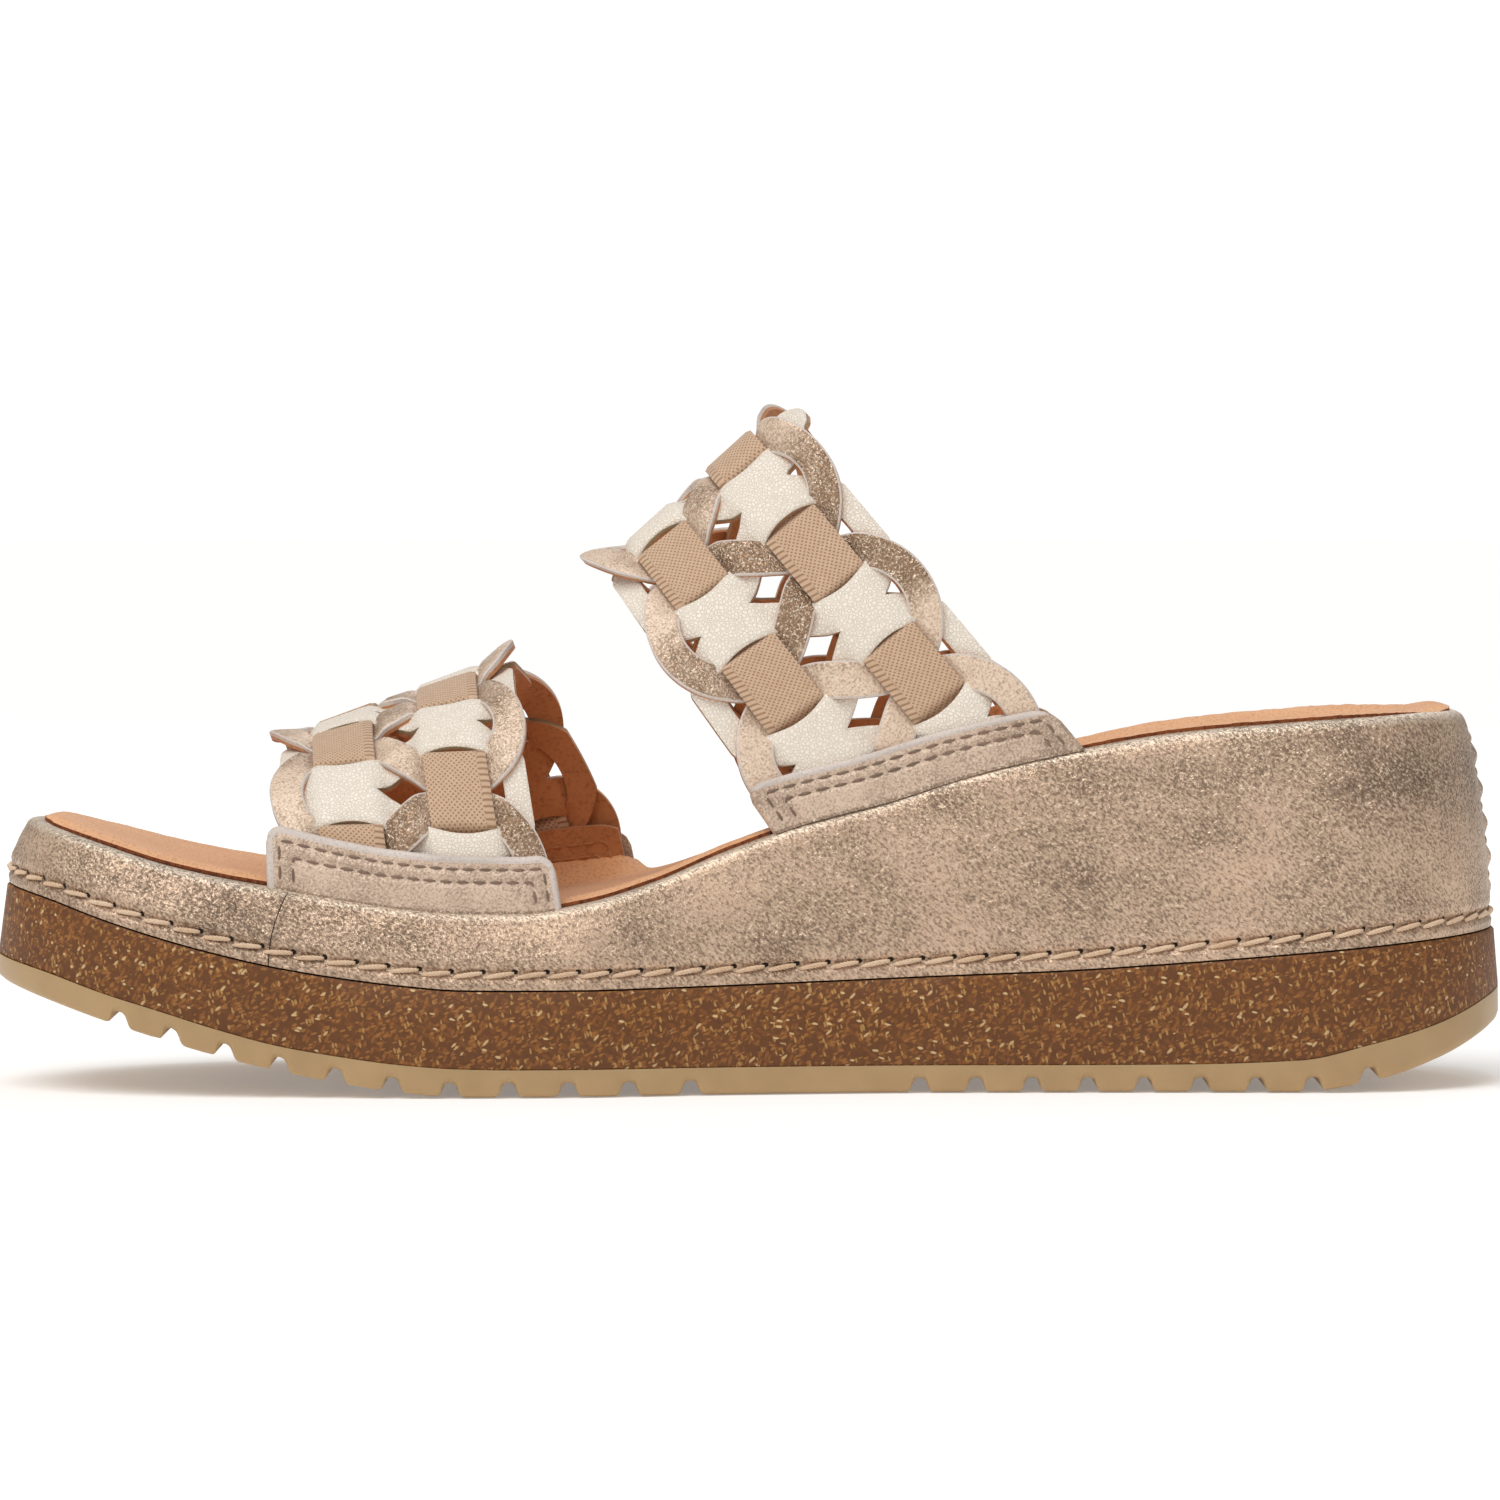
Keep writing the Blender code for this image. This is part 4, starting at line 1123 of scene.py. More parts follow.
class StrapForm:
    """The curved inner face of one strap, as a table over u and v."""

    def __init__(self, index, sizes):
        self.sizes = sizes
        self.feet = {side: STRAP_FEET[side][index] for side in (-1, 1)}
        self.us = np.arange(-FORM_REACH_U, FORM_REACH_U + FORM_STEP, FORM_STEP)
        self.vs = np.arange(-FORM_REACH_V, FORM_REACH_V + FORM_STEP, FORM_STEP)
        self.lengths = {-1: [], 1: []}
        self.points = np.stack([self.row(v) for v in self.vs], axis=1)
        self.normals = unit(np.cross(np.gradient(self.points, axis=1), np.gradient(self.points, axis=0)))

    def row(self, v):
        """Points of one arch over the whole of u, straight on past its feet."""
        quarter = np.linspace(0, math.pi / 2, ARCH_STEPS + 1)
        power = 2 / self.sizes["fullness"]
        out = np.sin(quarter) ** power
        down = 1 - np.cos(quarter) ** power
        share = 0.5 + v / (2 * STRAP_HALF)
        front = np.array(self.sizes["crest_front"])
        station, height = front + share * (np.array(self.sizes["crest_rear"]) - front)
        crest = np.array([station - LENGTH / 2, self.sizes["crest_side"], height])
        from_crest = self.us + self.sizes["skew"] * v
        found = np.zeros((len(self.us), 3))
        for side in (-1, 1):
            start, end = self.feet[side]
            flat = ring(turn_of(start + share * (end - start), side), STRAP_INSET)
            foot = np.array([*flat, rim_height(flat[0] + LENGTH / 2, side) + STRAP_LIFT])
            fall = foot - crest
            sideways = fall * (0, 1, 0)
            arch = crest + np.outer(out, sideways) + np.outer(down, fall - sideways)
            if side > 0:
                arch[:, 0] += self.sizes["far_bow"] * max(share, 0) ** 2 * np.sin(math.pi * down)
            run = run_along(arch)
            self.lengths[side].append(run[-1])
            arch = np.vstack([arch, arch[-1] + PAST_FOOT * unit(arch[-1] - arch[-4])])
            run = np.append(run, run[-1] + PAST_FOOT)
            here = from_crest * side >= 0
            for k in range(3):
                found[here, k] = np.interp(np.abs(from_crest[here]), run, arch[:, k])
        return found

    def foot_u(self, v, side):
        """The u at which the strap meets the wedge."""
        return side * np.interp(v, self.vs, self.lengths[side]) - self.sizes["skew"] * v

    def at(self, u, v, height):
        """Points at a height above the face."""
        i = np.clip((np.asarray(u) - self.us[0]) / FORM_STEP, 0, len(self.us) - 1.001)
        j = np.clip((np.asarray(v) - self.vs[0]) / FORM_STEP, 0, len(self.vs) - 1.001)
        i0 = i.astype(int)
        j0 = j.astype(int)
        f = (i - i0)[..., None]
        g = (j - j0)[..., None]
        blended = []
        for table in (self.points, self.normals):
            near = table[i0, j0] * (1 - f) + table[i0 + 1, j0] * f
            far = table[i0, j0 + 1] * (1 - f) + table[i0 + 1, j0 + 1] * f
            blended.append(near * (1 - g) + far * g)
        return blended[0] + np.asarray(height)[..., None] * unit(blended[1])

    def above_foot(self, v, up, side, height):
        """Points by their way up from a foot, at a height above the face."""
        return self.at(self.foot_u(v, side) - side * up, v, height)


forms = {name: StrapForm(k, sizes) for k, (name, sizes) in enumerate(STRAPS.items())}
for name, form in forms.items():
    form.run = float(form.foot_u(0.0, 1) - form.foot_u(0.0, -1))
    print(name, "strap runs", round(form.run, 1), "mm over the foot")

# %% [markdown]
# ## The leather nets
# The champagne net is cut with two columns of teardrop holes and a scalloped edge. The cream net
# lies half a pitch along from it. Its holes are windows for the tape, and its edge is nearly
# straight, with small notches and a tongue that droops over the rear strap's crest. The order goes
# round: the tape lies over a champagne joint, champagne arms over cream arms, and cream joints
# over the tape. A height for each net, low at one place and high at the other, weaves them, and
# some champagne tips lift off. The flat shape is filled with triangles and pulled up twice, so the
# cut edge has a pale layer over a rust one.

# %% Nets
PITCH = 26.5
COLUMN = 9.35
SCALLOP_CENTRE = 7.4
SCALLOP_RADIUS = 14.8
HOLE_CENTRE = 9.0
HOLE_RADIUS = 7.7
HOLE_TIP = -4.3
FLANK_BOW = 0.35
BOW_PEAK = 6.75
FLANK_STEPS = 14
ROUND_STEPS = 17
WINDOW_STEPS = 12
CROWN_STEPS = 9
TAPE_HALF = 5.3
WINDOW_HALF = 7.7
WINDOW_BOW = 12.0
WINDOW_CROWN = 2.2
CREAM_MOST = 20.9
CLOSED_NOTCH = 17.4
TONGUE_AT = -2.5
TONGUE_REACH = 9.0
TONGUE_DROOP = 3.2
TONGUE_ROOT = 20.0
TONGUE_LENGTH = 5.0
TIP_ROOT = 14.0
TIP_LENGTH = 8.0
FAR_SHIFT_FROM = -8.0
FAR_SHIFT_FADE = 40.0
MOST_SITES = 10
FOOT_EXTRA = 0.9
LEATHER = 1.6
PALE_LAYER = 0.9
SHOULDER = 0.3
SHOULDER_DROP = 0.22
SHOULDER_CLEAR = 0.7 * SHOULDER
EDGE_STEP = 0.6
EDGE_GUESS = 20.0
EDGE_ROUNDS = 4
FOOT_POINTS = 40
GRID_STEP = 1.15
CLEAR_OF_EDGE = 0.75
CHUNKS = 20
WELD = 1e-4
# Height at a joint, height at a crossing, half a joint's length and width, and length of the slope.
NET_HEIGHTS = {"champagne": (1.35, 2.75, 6.2, 4.9, 3.0), "cream": (2.85, 1.3, 5.4, 4.6, 2.8)}
JOINT_SIDES = {"champagne": 1, "cream": -1}


def sites(form):
    """Every half pitch along a strap: its u, and the side of the column where its tape shows."""
    found = []
    for k in range(-MOST_SITES, MOST_SITES + 1):
        u = form.sizes["first_tape"] + k * PITCH / 2
        shift = form.sizes["far_shift"] * ease((u - FAR_SHIFT_FROM) / FAR_SHIFT_FADE)
        found.append((u + shift, 1 if k % 2 == 0 else -1))
    return found


def pointed_hole(round_part):
    """A hole's outline from its tip up two bowed flanks and over its round part, given as a half."""
    s = np.linspace(0, 1, FLANK_STEPS)[:-1, None]
    tip = np.array([[0.0, HOLE_TIP]])
    rise = round_part[:1] - tip
    across = unit(np.array([[-rise[0, 1], rise[0, 0]]]))
    flank = tip + s * rise + FLANK_BOW * BOW_PEAK * s * (1 - s) ** 2 * across
    half = np.vstack([flank, round_part])
    return np.vstack([half, (half * (-1, 1))[-2:0:-1]])


def teardrop():
    """A hole of the champagne net, centred on u = 0 and pointing to -v."""
    slant = math.asin(HOLE_RADIUS / (HOLE_CENTRE - HOLE_TIP))
    turn = np.linspace(-slant, math.pi / 2, ROUND_STEPS)
    centre = np.array([0.0, HOLE_CENTRE])
    return pointed_hole(centre + HOLE_RADIUS * np.column_stack([np.cos(turn), np.sin(turn)]))


def tape_window():
    """A hole of the cream net, as wide as the tape and nearly straight at its two ends."""
    v = np.linspace(-TAPE_HALF, TAPE_HALF, WINDOW_STEPS)
    end = np.column_stack([WINDOW_HALF - v**2 / (2 * WINDOW_BOW), COLUMN + v])
    turn = np.linspace(0, math.pi / 2, CROWN_STEPS)[1:, None]
    crown = np.hstack([end[-1, 0] * np.cos(turn), end[-1, 1] + WINDOW_CROWN * np.sin(turn)])
    return pointed_hole(np.vstack([end, crown]))


def scallop_edge(centres, u):
    """The outer edge of a net at u, as a distance from its centre line."""
    off = np.min(np.abs(np.asarray(u)[..., None] - np.array(centres)), axis=-1)
    return SCALLOP_CENTRE + np.sqrt(SCALLOP_RADIUS**2 - np.minimum(off, PITCH / 2) ** 2)


def net_outline(form, kind):
    """The outer edge of a net, one way round: an edge, a foot, the other edge, the other foot."""
    edges = {}
    for column in (-1, 1):
        centres = [u for u, side in sites(form) if side == -column * JOINT_SIDES[kind]]
        ends = []
        for side in (-1, 1):
            u = form.foot_u(column * EDGE_GUESS, side)
            for _ in range(EDGE_ROUNDS):
                u = form.foot_u(column * scallop_edge(centres, u), side) + side * FOOT_EXTRA
            ends.append(u)
        valleys = [c + PITCH / 2 for c in centres]
        u = np.unique(np.concatenate([np.arange(*ends, EDGE_STEP), valleys, ends]))
        u = u[(u >= ends[0]) & (u <= ends[1])]
        edge = scallop_edge(centres, u)
        if kind == "cream":
            least = CLOSED_NOTCH if column == form.sizes["closed_notch"] else 0.0
            tongue = form.sizes["crest_tongue"] * bell(u - TONGUE_AT, TONGUE_REACH)
            edge = np.clip(edge, least, CREAM_MOST) + tongue * (column > 0)
        edges[column] = np.column_stack([u, column * edge])
    feet = {}
    for side in (-1, 1):
        k = 0 if side < 0 else -1
        v = np.linspace(edges[-1][k, 1], edges[1][k, 1], FOOT_POINTS)[1:-1]
        feet[side] = np.column_stack([form.foot_u(v, side) + side * FOOT_EXTRA, v])
    return np.vstack([edges[-1], feet[1], edges[1][::-1], feet[-1][::-1]])


def net_holes(form, kind):
    drop = teardrop() if kind == "champagne" else tape_window()
    holes = []
    for u, side in sites(form):
        column = -side * JOINT_SIDES[kind]
        moved = drop * (1, column) + (u, 0)
        holes.append(moved if column > 0 else moved[::-1])
    return holes


def inner_line(shape, distance):
    """A closed line beside a shape, on its left."""
    along = unit(np.roll(shape, -1, axis=0) - np.roll(shape, 1, axis=0))
    return shape + distance * np.column_stack([-along[:, 1], along[:, 0]])


def woven_height(form, kind, u, v):
    """Height of a net's face: one value at its joints and another where its arms cross."""
    at_joint, at_crossing, half_long, half_wide, slope = NET_HEIGHTS[kind]
    joints = np.array([(site, COLUMN * side * JOINT_SIDES[kind]) for site, side in sites(form)])
    past = np.abs(np.column_stack([u, v])[:, None, :] - joints[None, :, :]) - (half_long, half_wide)
    distance = np.min(np.linalg.norm(np.maximum(past, 0), axis=2), axis=1)
    woven = at_joint + (at_crossing - at_joint) * ease(distance / slope)
    if kind == "cream":
        droop = TONGUE_DROOP * bell(u - TONGUE_AT, TONGUE_REACH) * (form.sizes["crest_tongue"] > 0)
        return woven - droop * (np.maximum(v - TONGUE_ROOT, 0) / TONGUE_LENGTH) ** 2
    for column, (centre, lift, reach) in form.sizes["tip_lifts"].items():
        woven = woven + lift * bell(u - centre, reach) * ease((column * v - TIP_ROOT) / TIP_LENGTH)
    return woven


def fill_flat(outline, holes):
    """Triangles of the outline without the holes, fine enough to bend."""
    shapes = [outline] + holes
    border = np.vstack(shapes)
    faces = []
    start = 0
    for shape in shapes:
        faces.append(list(range(start, start + len(shape))))
        start += len(shape)
    shoulders = [inner_line(outline, SHOULDER)] + [inner_line(hole, -SHOULDER) for hole in holes]
    low = outline.min(axis=0)
    high = outline.max(axis=0)
    grid_u, grid_v = np.meshgrid(*[np.arange(low[k], high[k], GRID_STEP) for k in (0, 1)])
    grid_u = grid_u + (np.arange(len(grid_u)) % 2)[:, None] * GRID_STEP / 2
    inner = np.column_stack([grid_u.ravel(), grid_v.ravel()])
    spots = [border]
    for cloud, clear in ((np.vstack(shoulders), SHOULDER_CLEAR), (inner, CLEAR_OF_EDGE)):
        for part in np.array_split(cloud, CHUNKS):
            gaps = np.min(np.linalg.norm(part[:, None, :] - border[None, :, :], axis=2), axis=1)
            spots.append(part[gaps > clear])
    flat = delaunay_2d_cdt([tuple(spot) for spot in np.vstack(spots)], [], faces, 0, WELD)
    kept = [list(face) for face, inside in zip(flat[2], flat[5]) if inside == [0]]
    return np.array([tuple(point) for point in flat[0]]), kept


def build_net(name, form, kind):
    spots, kept = fill_flat(net_outline(form, kind), net_holes(form, kind))
    bm = bmesh.new()
    on_rim = bm.verts.layers.int.new("on_rim")
    wear_and_shade_layer = bm.verts.layers.float.new("wear_and_shade")
    used = sorted({corner for face in kept for corner in face})
    verts = {i: bm.verts.new((*spots[i], 0.0)) for i in used}
    faces = [bm.faces.new([verts[i] for i in face]) for face in kept]
    for face in faces:
        face.material_index = 2
    for edge in bm.edges:
        if len(edge.link_faces) == 1:
            for vert in edge.verts:
                vert[on_rim] = 1
    levels = [(list(bm.verts), LEATHER)]
    for depth, index in ((PALE_LAYER, 2), (0.0, 1)):
        before = set(bm.faces)
        made = bmesh.ops.extrude_face_region(bm, geom=faces)
        faces = made_parts(made, BMFace)
        for face in set(bm.faces) - before:
            face.material_index = index
        levels.append((made_parts(made, BMVert), depth))
    # Top faces at a champagne strip's edge get the pale cut edge, partly as painted highlight.
    for face in faces:
        touches_rim = any(vert[on_rim] for vert in face.verts)
        face.material_index = 1 if touches_rim and kind == "champagne" else 0
    for level, depth in levels:
        u, v = np.array([vert.co.xy for vert in level]).T
        shoulder = SHOULDER_DROP * np.array([vert[on_rim] for vert in level]) * (depth == 0)
        place(level, form.at(u, v, woven_height(form, kind, u, v) - depth - shoulder))
        # Bronze and paler patches: worn foil, and painted shade and light by how each part faces.
        for vert, rubbed_and_shaded in zip(level, worn_and_shaded_places(np.abs(u), v, form.sizes["worn_and_shaded"])):
            vert[wear_and_shade_layer] = rubbed_and_shaded
    finishes = [strap_foil, cut_edge] if kind == "champagne" else [cream_leather, cream_edge]
    stands_for = [f"{name}_strap"] if kind == "champagne" else ()
    finishes.append(lining_suede)
    add_piece(f"{name}_{kind}_net", bm, finishes, stands_for, sharp=50.0)


for name, form in forms.items():
    for kind in NET_HEIGHTS:
        build_net(name, form, kind)

# %% [markdown]
# ## The elastic tapes
# Two woven elastic tapes run through each strap, over the champagne joints and under the cream
# ones. The weave is a staggered field of tiny dents, and one edge is bound with overlock ribs.
# The tape is a long grid that carries its own run in millimetres, along and across, as two
# attributes. The finish turns them into sine waves, which give the dents and the ribs, with
# painted shade in their hollows.

# %% Tapes
TAPE_THICK = 0.9
TAPE_HIGH = 2.9
TAPE_LOW = 1.1
TAPE_NEAR = 6.0
TAPE_FAR = 7.9
TAPE_SLIDE = 0.45
SLIDE_TURNS_AT = 35.0
SLIDE_FADE = 10.0
TAPE_EDGE_DROP = 0.3
TAPE_EDGE = 0.8
TAPE_STEPS = (560, 13)
RIB_PITCH = 1.0
RIB_REACH = 1.5
DENT_STEP = 0.43
HOLLOW_SHADE = 0.8


def elastic_tape():
    finish = Finish("woven elastic tape", Roughness=0.75, Sheen_Weight=0.2)
    along = finish.attribute("weave_u")
    across = finish.attribute("weave_v")
    waves = []
    for value, pitch in ((along, DENT_STEP), (across, DENT_STEP), (along, RIB_PITCH / 2)):
        waves.append(finish.maths("SINE", finish.maths("MULTIPLY", value, math.pi / pitch)))
    dent = finish.remap(finish.maths("MULTIPLY", waves[0], waves[1]), low=0.25, high=0.8)
    rib = finish.remap(waves[2], low=0.1, high=0.9)
    bound = finish.remap(across, RIB_REACH + 0.1, RIB_REACH - 0.1)
    shaded_hollow = add(finish.tree, "Mix", {0: bound, 2: dent, 3: rib})
    ground = finish.mix(finish.noise(size_mm=1.1, detail=3.0), "#d6b698", "#bf9a7b")
    # The hollows of the dents and ribs are painted darker: painted shade.
    toned = finish.mix(finish.maths("MULTIPLY", shaded_hollow, HOLLOW_SHADE), ground, "#8c694a")
    return finish.close(toned, shaded_hollow, strength=0.6, depth_mm=0.2, invert=True)


# The eye gets a dull beige cloth with a regular fine weave, so it parts from the leather beside it.
tape_finish = elastic_tape()


def tape_shape(form, column, s, t, on_top):
    joints = np.array([u for u, side in sites(form) if side == column])
    slide = np.clip((SLIDE_TURNS_AT - np.abs(joints)) / SLIDE_FADE, -1, 1)
    joints += np.sign(joints) * TAPE_SLIDE * slide
    v = COLUMN * column + (2 * t - 1) * TAPE_HALF
    start = form.foot_u(v, -1)
    u = start + s * (form.foot_u(v, 1) - start)
    off = np.min(np.abs(u[:, None] - joints[None, :]), axis=1)
    height = TAPE_HIGH + (TAPE_LOW - TAPE_HIGH) * ease((off - TAPE_NEAR) / (TAPE_FAR - TAPE_NEAR))
    edge = TAPE_HALF - np.abs(2 * t - 1) * TAPE_HALF
    rounded = TAPE_EDGE_DROP * (1 - ease(edge / TAPE_EDGE))
    return form.at(u, v, height - (rounded if on_top else TAPE_THICK))


for name, form in forms.items():
    bm = bmesh.new()
    weave_u = bm.verts.layers.float.new("weave_u")
    weave_v = bm.verts.layers.float.new("weave_v")
    for column in (-1, 1):
        slab(bm, TAPE_STEPS, partial(tape_shape, form, column))
    share_s = bm.verts.layers.float["share_s"]
    share_t = bm.verts.layers.float["share_t"]
    for vert in bm.verts:
        from_rib = 1 - vert[share_t] if form.sizes["rib_side"] > 0 else vert[share_t]
        vert[weave_u] = vert[share_s] * form.run
        vert[weave_v] = from_rib * 2 * TAPE_HALF
    add_piece(f"{name}_elastic_tapes", bm, [tape_finish], sharp=60.0)

# %% [markdown]
# ## The bands
# A leather band is sewn over each strap foot. Its edge is turned to a pale rounded lip, at the top
# and the ends on the front strap and only at the top on the rear one. Two rows of stitches follow
# the edge and turn down at both ends. The stitches sink into the leather, so the band is a fine
# grid with a trough under each row. The foil is a little bronzer between the rows, and a painted
# shadow darkens its lowest edge, where the band meets the wedge.

# %% Bands
BAND_STEPS = (120, 40)
BAND_HEIGHT = 8.2
BAND_HALF = 23.0
BAND_CORNER = 3.0
BAND_INNER = 2.9
BAND_OUTER = 4.7
BAND_BELOW = 1.1
BAND_ROUND = 0.75
BAND_ROUND_REACH = 0.9
LIP = 1.1
# Troughs of the lip and of the stitch rows: depth, distance from the edge, and width.
LIP_GROOVE = (0.22, LIP + 0.1, 0.3)
ROW_DEPTHS = (2.1, 4.1)
BAND_TROUGHS = [(0.38, depth, 0.55) for depth in ROW_DEPTHS] + [LIP_GROOVE]
ROW_FOOT = 0.4
LEAST_CORNER = 0.4
# Bronze between the rows, and a painted shadow along the foot: its strength, its place and its width.
BETWEEN_ROWS = (0.08, 3.1, 1.3)
SHADOW_AT_FOOT = (0.6, -0.8, 0.3)
SEAM_PITCH = 2.6
SEAM_LENGTH = 2.15
SEAM_RADIUS = 0.24
SEAM_SIDES = 6
SEAM_STEPS = 6
THREAD_BOW = 0.27
THREAD_SUNK = 0.15
THREAD_TAPER = 0.6


def band_spot(s, t):
    """The v of a spot of the band, and its way up from the foot."""
    v = BAND_HALF * (2 * s - 1)
    into = np.maximum(np.abs(v) - (BAND_HALF - BAND_CORNER), 0)
    top = BAND_HEIGHT - BAND_CORNER + np.sqrt(np.maximum(BAND_CORNER**2 - into**2, 0))
    return v, -BAND_BELOW + t * (top + BAND_BELOW)


def edge_distance(v, up):
    """How far a spot of the band lies from its top and ends, round its corners."""
    side = BAND_HALF - np.abs(v)
    top = BAND_HEIGHT - up
    corner = np.hypot(np.maximum(BAND_CORNER - side, 0), np.maximum(BAND_CORNER - top, 0))
    at_corner = (side < BAND_CORNER) & (top < BAND_CORNER)
    return np.where(at_corner, BAND_CORNER - corner, np.minimum(side, top))


def band_face(v, up, proud=0.0):
    """Height of the band's outer face, or of a thread that stands proud of it."""
    edge = np.maximum(edge_distance(v, up), 0)
    rounded = BAND_ROUND * (1 - np.sqrt(1 - (1 - np.clip(edge / BAND_ROUND_REACH, 0, 1)) ** 2))
    troughs = sum(depth * bell(edge - at, width) for depth, at, width in BAND_TROUGHS)
    return BAND_OUTER - rounded - troughs + proud


def band_shape(form, side, s, t, on_top):
    v, up = band_spot(s, t)
    return form.above_foot(v, up, side, band_face(v, up) if on_top else BAND_INNER)


def build_band(name, form, side, node):
    bm = bmesh.new()
    wear_and_shade = bm.verts.layers.float.new("wear_and_shade")
    top_faces, walls = slab(bm, BAND_STEPS, partial(band_shape, form, side))
    layers = [bm.verts.layers.float[share] for share in ("share_s", "share_t")]
    for face in top_faces:
        v, up = band_spot(*[np.mean([vert[layer] for vert in face.verts]) for layer in layers])
        edge = edge_distance(v, up)
        from_top = BAND_HEIGHT - up if form.sizes["plain_ends"] else 0
        face.material_index = 1 if max(edge, from_top) < LIP else 0
        between, middle, width = BETWEEN_ROWS
        low, foot, fade = SHADOW_AT_FOOT
        # A little bronze between the rows, and a painted shadow along the band's lowest edge.
        rubbed_and_shaded = between * bell(edge - middle, width) + low * bell(max(up - foot, 0), fade)
        for vert in face.verts:
            vert[wear_and_shade] = rubbed_and_shaded
    for face in walls:
        face.material_index = 1
    add_piece(name, bm, [band_foil, cut_edge], [node], sharp=70.0)


def row_path(depth):
    """A stitch row as (v, up): up one end, along under the lip, and down the other end."""
    side = BAND_HALF - depth
    top = BAND_HEIGHT - depth
    radius = max(BAND_CORNER - depth, LEAST_CORNER)
    turn = np.linspace(0, math.pi / 2, 6)
    left = np.column_stack([-side + radius * (1 - np.cos(turn)), top - radius * (1 - np.sin(turn))])
    return np.vstack([[[-side, ROW_FOOT]], left, (left * (-1, 1))[::-1], [[side, ROW_FOOT]]])


def sew_rows(form, side, face, stretch=(1.0, 1.0)):
    """Both rows of a foot: short stitches, each a small capsule that dips in at both ends."""
    stitches = []
    s = np.linspace(0, 1, SEAM_STEPS)
    bow = np.sin(math.pi * s)
    proud = THREAD_BOW * bow - THREAD_SUNK
    radii = SEAM_RADIUS * (THREAD_TAPER + (1 - THREAD_TAPER) * bow)
    for depth in ROW_DEPTHS:
        path = row_path(depth) * stretch
        run = run_along(path)
        count = int(run[-1] / SEAM_PITCH)
        for k in range(count):
            at = (k + 0.5) * run[-1] / count + SEAM_LENGTH * (s - 0.5)
            v, up = [np.interp(at, run, path[:, column]) for column in (0, 1)]
            points = form.above_foot(v, up, side, face(v, up, proud))
            outward = form.above_foot(v, up, side, face(v, up, proud + 1.0)) - points
            stitches.append(tube(points, *frame_along(points, outward), radii, SEAM_SIDES))
    return stitches


for name, form in forms.items():
    for label, side in (("medial", -1), ("lateral", 1)):
        build_band(f"{name}_{label}_band_leather", form, side, f"{name}_band_{label}")
        threads = join_tubes(sew_rows(form, side, band_face))
        title = f"{name}_{label}_band_stitches"
        add_piece(title, threads, [seam_thread], sharp=THREAD_SHARP)

# %% [markdown]
# ## The linings inside the feet
# Inside, each strap foot is faced with a strip of rust suede, sewn with the same two rows. It is
# a thin slab on the inner face of the strap. The medial ones are a little lower than the band
# outside, and the lateral ones a little taller.

# %% Linings
LINING_STEPS = (50, 12)
LINING_HEIGHTS = {-1: 8.0, 1: 10.4}
LINING_HALF = BAND_HALF - 1.0
LINING_BELOW = 0.3
LINING_CORNER = 1.5
LINING_SQUARENESS = 12
LINING_FACE = -1.0
LINING_BACK = 0.25
LINING_ROWS = (0.95, 0.9)


def lining_shape(form, side, s, t, on_top):
    across = 2 * s - 1
    top = LINING_HEIGHTS[side] + LINING_BELOW - LINING_CORNER * np.abs(across) ** LINING_SQUARENESS
    depth = LINING_FACE if on_top else LINING_BACK
    return form.above_foot(LINING_HALF * across, t * top - LINING_BELOW, side, depth)


def lining_face(v, up, proud):
    return LINING_FACE - proud


bm = bmesh.new()
stitches = []
for form in forms.values():
    for side in (-1, 1):
        slab(bm, LINING_STEPS, partial(lining_shape, form, side))
        wide, tall = LINING_ROWS
        stretch = (wide, tall * LINING_HEIGHTS[side] / LINING_HEIGHTS[-1])
        stitches += sew_rows(form, side, lining_face, stretch)
add_piece("strap_foot_linings", bm, [lining_suede])
add_piece("strap_lining_stitches", join_tubes(stitches), [lining_suede], sharp=THREAD_SHARP)

# %% [markdown]
# ## Stage, light and camera
# The shoe stands on a plain white floor that glows a little, so it stays white beside a soft
# shadow. A wide, soft sun from the upper front left gives the form, the world fills the shadows,
# and two weak lamps in front and behind give the foil its gloss. The camera looks at the medial
# side from far away, with a long lens.

# %% Stage
FLOOR_REACH = 8.0
FLOOR_DROP = 0.0002
CAMERA_PLACE = (0.0, -1.4, 0.108)
CAMERA_TARGET = (0.0, 0.0, 0.056)
CAMERA_LENS = 196.5
SENSOR = 36.0
SUN_FROM = (-0.3, -0.42, 1.0)
SUN_STRENGTH = 1.7
SUN_SOFTNESS = 50.0
WORLD_LIGHT = 0.42
BACKDROP = 1.05
FLOOR_GLOW = 0.2
LAMP_TARGET = (0.0, 0.0, 0.05)
LAMPS = (("front_lamp", (-0.4, -1.1, 0.9), 0.7, 1.2), ("back_lamp", (0.3, 1.1, 0.9), 0.7, 2.0))


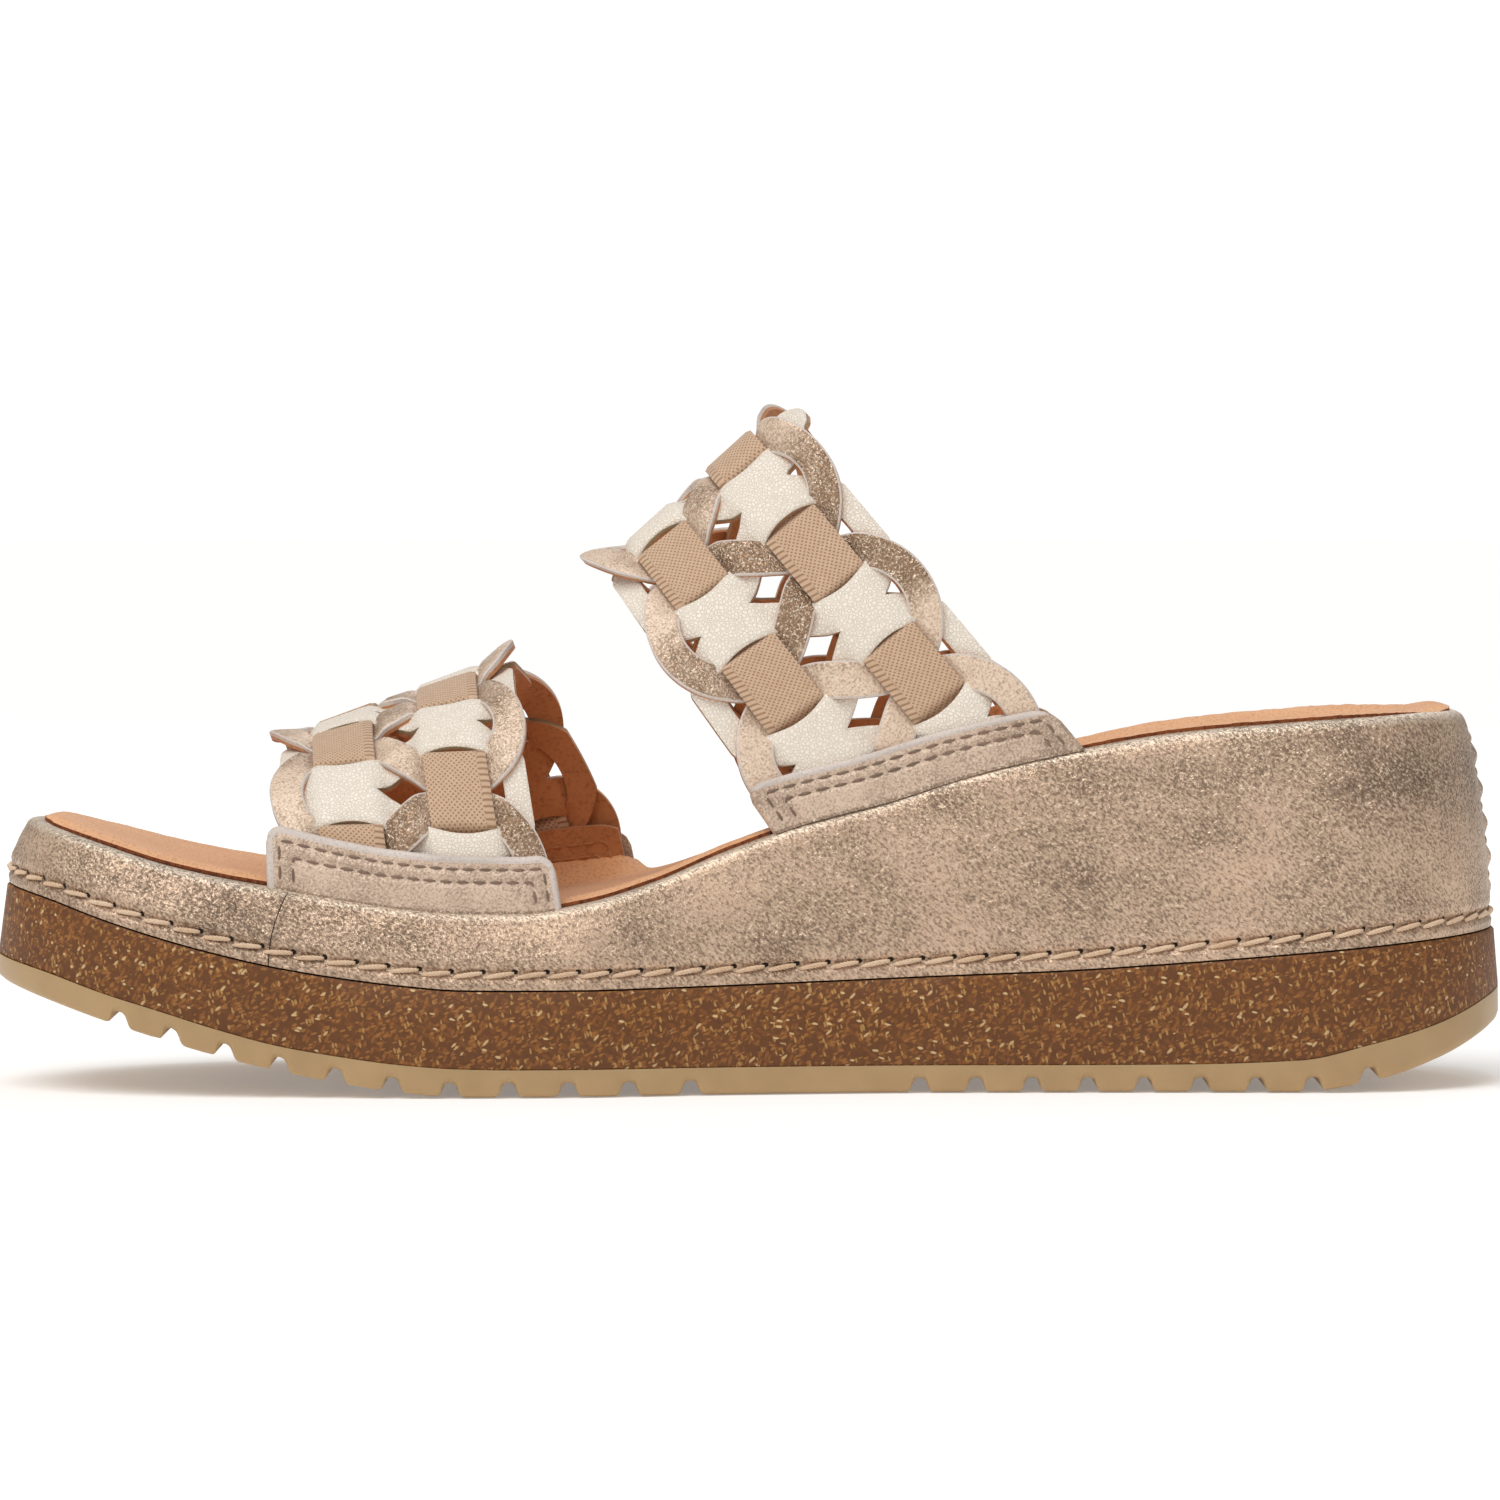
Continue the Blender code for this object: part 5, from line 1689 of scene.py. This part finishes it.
def set_up(name, data, spot=(0.0, 0.0, 0.0), target=None):
    """Puts an item on the stage, and turns it towards its target."""
    item = bpy.data.objects.new(name, data)
    item.location = spot
    if target:
        back = item.location - type(item.location)(target)
        item.rotation_euler = back.to_track_quat("Z", "Y").to_euler()
    bpy.context.scene.collection.objects.link(item)
    return item


# The floor gives the eye nothing but white and the shoe's soft shadow.
glow = {"Emission_Color": colour("#ffffff"), "Emission_Strength": FLOOR_GLOW}
floor_finish = Finish("matt white floor", Roughness=0.9, Base_Color=colour("#f7f6f4"), **glow)
bm = bmesh.new()
bmesh.ops.create_circle(bm, cap_ends=True, segments=64, radius=FLOOR_REACH)
floor_mesh = bpy.data.meshes.new("studio_floor")
bm.to_mesh(floor_mesh)
bm.free()
floor_mesh.materials.append(floor_finish.material)
set_up("studio_floor", floor_mesh, (0.0, 0.0, -FLOOR_DROP))

for lamp_name, spot, size, power in LAMPS:
    lamp = bpy.data.lights.new(lamp_name, "AREA")
    lamp.shape = "DISK"
    lamp.size = size
    lamp.energy = power
    set_up(lamp_name, lamp, spot, LAMP_TARGET)

sun = bpy.data.lights.new("studio_sky", "SUN")
sun.energy = SUN_STRENGTH
sun.angle = math.radians(SUN_SOFTNESS)
set_up("studio_sky", sun, SUN_FROM, (0.0, 0.0, 0.0))

world = bpy.data.worlds.new("studio")
world.use_nodes = True
sky = world.node_tree.nodes["Background"]
sky.inputs["Color"].default_value = colour("#ffffff")
seen = add(world.node_tree, "LightPath", {}, "Is Camera Ray")
levels = {0: seen, 1: BACKDROP - WORLD_LIGHT, 2: WORLD_LIGHT}
strength = add(world.node_tree, "Math", levels, operation="MULTIPLY_ADD")
world.node_tree.links.new(strength, sky.inputs["Strength"])
bpy.context.scene.world = world
bpy.context.scene.view_settings.view_transform = "Standard"

camera = bpy.data.cameras.new("camera")
camera.lens = CAMERA_LENS
camera.sensor_width = SENSOR
bpy.context.scene.camera = set_up("camera", camera, CAMERA_PLACE, CAMERA_TARGET)
print("stage: floor,", len(LAMPS), "lamps, sun, world and camera")
